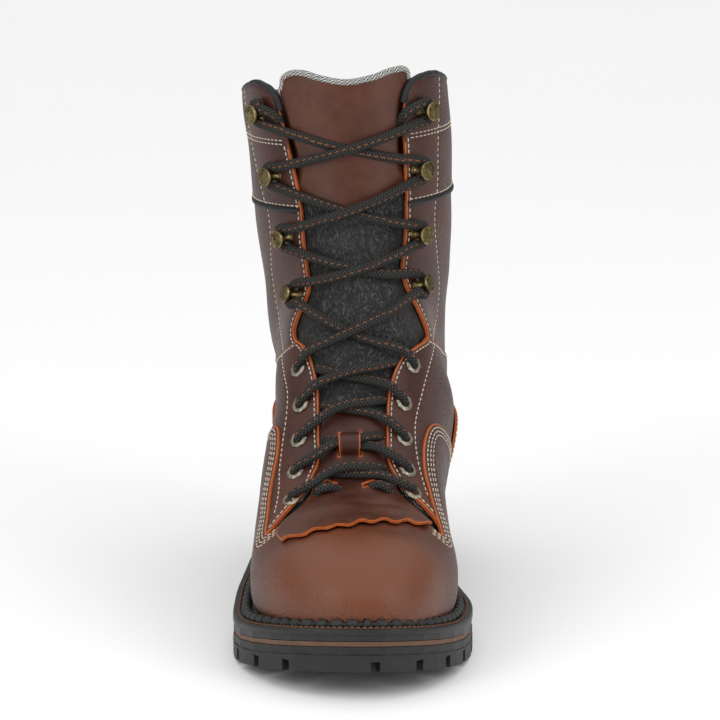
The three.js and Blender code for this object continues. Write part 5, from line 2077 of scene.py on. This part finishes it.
    def fittings(self) -> None:
        """The eyelets and the hooks."""
        r, k = self.head / 2, self.shank
        shank = [(0.0, 0.0), (4.0, 0.0), (4.2, 0.3), (4.1, 0.7), (k + 0.5, 1.1), (k + 0.1, 1.8), (k, 4.4),
                 (k + 0.15, 5.4), (k + 0.8, 6.3), (r - 0.6, 7.0), (r - 0.1, 7.35), (r, 7.6), (r, 8.3),
                 (r - 0.12, 8.65), (r - 0.4, 8.8)]
        rings = [(r - 0.4, 8.8), (r - 0.75, 8.75), (r - 0.95, 8.35), (r - 1.7, 8.35), (r - 1.85, 8.65),
                 (r - 2.3, 8.7), (r - 2.45, 8.35), (r - 3.1, 8.35), (r - 3.25, 8.65), (r - 3.6, 8.7),
                 (r - 3.75, 8.3), (0.55, 8.3), (0.42, 8.6), (0.0, 8.65)]
        wide, tight = self.eyelet / 2, self.hole / 2
        washer = [(tight, -0.9), (tight + 0.05, 0.55), (tight + 0.4, 0.95), (tight + 0.9, 0.95),
                  (wide - 0.7, 0.75), (wide - 0.15, 0.4), (wide, 0.0), (wide - 0.3, -0.25),
                  (tight + 0.3, -0.5), (tight, -0.9)]
        for side in Side:
            for row in range(len(LACING_ROWS)):
                s, t, _ = self.form.lacing_place(row, side)
                axis = self.form.normal(s, t)
                if row < EYELET_ROWS:
                    mesh = Mesh(f"eyelet_{side.word}_{row + 1}_washer")
                    lift = self.form.quarter_step + 0.2
                    lathe(mesh, washer, self.form.offset(s, t, lift), axis, 48, 8)
                    mesh.build([self.finishes.nickel], "eyelet_metal",
                               [f"eyelet_{side.word}_{row + 1}"], 30)
                    continue
                number = len(LACING_ROWS) - row
                mesh = Mesh(f"hook_{side.word}_{number}_turned")
                foot = self.form.offset(s, t, -0.1)
                lathe(mesh, shank, foot, axis, 40)
                lathe(mesh, rings, foot, axis, 40)
                mesh.build([self.finishes.brass], "hook_metal", [f"hook_{side.word}_{number}"], 35)

    def build(self) -> None:
        """Builds the fittings and every fixed stretch of the lace."""
        self.fittings()
        self.run("lace_from_lateral", Side.LATERAL, 3.9)
        self.run("lace_from_medial", Side.MEDIAL, 3.9)
        self.bar()


@dataclass
class Sole:
    """The storm welt with its bead and lock stitch, and the finish of the moulded layers."""

    form: Form
    finishes: Finishes
    welt: float = 3.0
    block: float = 7.6
    gap: float = 2.5
    bead_inset: tuple[tuple[float, float], ...] = (
        (0.0, 4.0), (0.1, 4.2), (0.25, 4.4), (0.4, 5.5), (0.55, 6.6), (0.7, 6.8), (0.82, 6.8),
        (0.9, 6.3), (0.95, 5.4), (1.0, 4.7))
    nodes: dict[str, str] = field(default_factory=lambda: {
        "outsole": "rubber", "heel_block": "rubber", "heel_lift": "rubber",
        "midsole_black": "ply", "midsole_brown": "tan", "insole": "insole"})

    def strip(self) -> None:
        """The welt's plate, rounded at its upper edge."""
        profile = [(16.0, -0.2), (0.02, -0.2), (0.0, 0.0), (0.0, 1.9), (0.15, 2.5), (0.6, 2.9),
                   (1.3, 3.0), (16.0, 3.0)]
        at = (1 - np.cos(np.linspace(0, np.pi, 190))) / 2
        rings = []
        for inset, high in profile:
            lateral = self.form.edge_point(Side.LATERAL, at, inset)
            medial = self.form.edge_point(Side.MEDIAL, at, inset)[::-1]
            loop = np.concatenate([lateral, medial])
            rings.append(np.column_stack([loop, self.form.welt_z(loop[:, 1]) - self.welt + high]))
        points = np.stack(rings, 1)
        mesh = Mesh("welt_strip")
        rows, columns = points.shape[:2]
        faces = [tuple((i % rows) * columns + j % columns for i, j in
                       ((a, b), (a, b + 1), (a + 1, b + 1), (a + 1, b)))
                 for a in range(rows) for b in range(columns)]
        mesh.add(points.reshape(-1, 3), faces)
        mesh.build([self.finishes.ply], "rubber", ["welt"])

    def inset(self, at: Array) -> Array:
        """How far inside the sole's edge the bead runs."""
        return Curve(*zip(*self.bead_inset))(at)

    def bead(self) -> None:
        """The moulded bead of separate blocks between the welt and the leather."""
        loop = self.form.sole_loop(self.inset)
        path = np.column_stack([loop, self.form.welt_z(loop[:, 1]) + 1.7])
        path = np.concatenate([path, path[:1]])
        up = np.tile([0.0, 0.0, 1.0], (len(path), 1))
        path, up = resampled(path, 0.55, [up])
        total = 0.55 * (len(path) - 1)
        block = total / round(total / self.block)
        phase = (np.arange(len(path)) * 0.55 % block)
        edge = np.minimum(phase, block - phase)
        swell = 0.42 + 0.58 * smooth(edge, self.gap / 2 - 0.3, self.gap / 2 + 0.5)
        mesh = Mesh("storm_bead")
        tube(mesh, path, up, 2.35 * swell, 2.6 * swell, 14, closed=True)
        mesh.build([self.finishes.rubber], "rubber", sharp=60)

    def lockstitch(self) -> None:
        """The brown stitch row outside the bead."""
        thread = Thread("welt_lockstitch", 0.62, 2.9, 2.8)
        loop = self.form.sole_loop(lambda at: self.inset(at) - 3.7)
        path = np.column_stack([loop, self.form.welt_z(loop[:, 1]) + 0.15])
        path = np.concatenate([path, path[:1]])
        thread.sew(path, np.tile([0.0, 0.0, 1.0], (len(path), 1)))
        thread.mesh.build([self.finishes.brown], "rubber")

    def dress(self, nodes: dict[str, bpy.types.Object]) -> None:
        """Gives the moulded solids their finishes and soft edges."""
        for name, finish in self.nodes.items():
            piece = nodes[name]
            piece.data.materials.clear()
            piece.data.materials.append(getattr(self.finishes, finish))
            soft = piece.modifiers.new("soft_edges", "BEVEL")
            soft.width = 0.0008 if finish == "rubber" else 0.0002
            soft.segments = 2
            soft.limit_method = "ANGLE"
            soft.angle_limit = math.radians(38)
            LOG.info("%s: dressed", name)

    def build(self, nodes: dict[str, bpy.types.Object]) -> None:
        """Builds the welt and dresses the solids.

        Args:
            nodes: the solids, by name or to stand for.
        """
        self.strip()
        self.bead()
        self.lockstitch()
        self.dress(nodes)


@dataclass
class Studio:
    """The pale floor, the soft lights and the camera."""

    camera_at: tuple[float, float, float] = (0.0033, -1.5525, 0.455)
    pitch: float = 11.78
    view: float = 13.12

    def lamp(self, name: str, kind: str, place: tuple[float, float, float], power: float,
             size: tuple[float, float] = (1.0, 1.0), spread: float = 60.0) -> None:
        """Adds one soft lamp that looks at the boot.

        Args:
            name: its name.
            kind: AREA or SUN.
            place: where it stands.
            power: its strength.
            size: an area lamp's width and height.
            spread: a sun lamp's angle.
        """
        data = bpy.data.lights.new(name, kind)
        data.energy = power
        if kind == "AREA":
            data.shape = "RECTANGLE"
            data.size, data.size_y = size
        else:
            data.angle = math.radians(spread)
        lamp = bpy.data.objects.new(name, data)
        lamp.location = place
        toward = np.array([0.0, 0.0, 0.12]) - np.array(place)
        flat = math.hypot(toward[0], toward[1])
        lamp.rotation_euler = Euler((math.atan2(flat, -toward[2]), 0,
                                     math.atan2(toward[1], toward[0]) - math.pi / 2))
        bpy.context.scene.collection.objects.link(lamp)

    def floor(self) -> None:
        """Adds the floor."""
        g = Graph("pale_floor")
        cloud = g.noise(g.place(), 900.0, 2.0)
        material = g.finish({"Base Color": g.mix((0.93, 0.93, 0.93), (0.96, 0.96, 0.96), cloud),
                             "Roughness": 0.6, "Specular IOR Level": 0.2})
        data = bpy.data.meshes.new("floor")
        data.from_pydata([(-6, -6, 0), (6, -6, 0), (6, 6, 0), (-6, 6, 0)], [], [(0, 1, 2, 3)])
        data.materials.append(material)
        piece = bpy.data.objects.new("floor", data)
        piece.location.z = -0.0002
        bpy.context.scene.collection.objects.link(piece)

    def build(self) -> None:
        """Builds the stage."""
        scene = bpy.context.scene
        data = bpy.data.cameras.new("camera")
        data.sensor_fit = "HORIZONTAL"
        data.angle = math.radians(self.view)
        data.clip_start = 0.05
        data.clip_end = 50
        camera = bpy.data.objects.new("camera", data)
        camera.location = self.camera_at
        camera.rotation_euler = Euler((math.radians(90 - self.pitch), 0, 0))
        scene.collection.objects.link(camera)
        scene.camera = camera
        world = bpy.data.worlds.new("studio")
        world.use_nodes = True
        world.node_tree.nodes["Background"].inputs["Color"].default_value = (1, 1, 1, 1)
        world.node_tree.nodes["Background"].inputs["Strength"].default_value = 0.4
        scene.world = world
        scene.view_settings.view_transform = "Standard"
        self.floor()
        self.lamp("overhead", "SUN", (0.0, -0.3, 3.0), 1.9, spread=110.0)
        self.lamp("left_softbox", "AREA", (-1.15, -1.15, 0.75), 7.5, (0.55, 1.3))
        self.lamp("right_softbox", "AREA", (1.2, -1.0, 0.7), 6.5, (0.5, 1.3))


def main() -> None:
    """Builds the boot in order."""
    logging.basicConfig(level=logging.INFO, format="%(name)s %(message)s")
    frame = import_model()
    Studio().build()
    form = Form()
    finishes = Finishes()
    thread = Thread("white_stitches")
    tongue = Tongue(form, finishes, thread)
    lacing = Lacing(form, finishes, tongue)
    lacing.tails()
    Upper(form, finishes, thread).build()
    tongue.build()
    lacing.build()
    Sole(form, finishes).build(frame["nodes"])
    thread.mesh.build([finishes.white], "upper_leather")


if __name__ == "__main__":
    main()
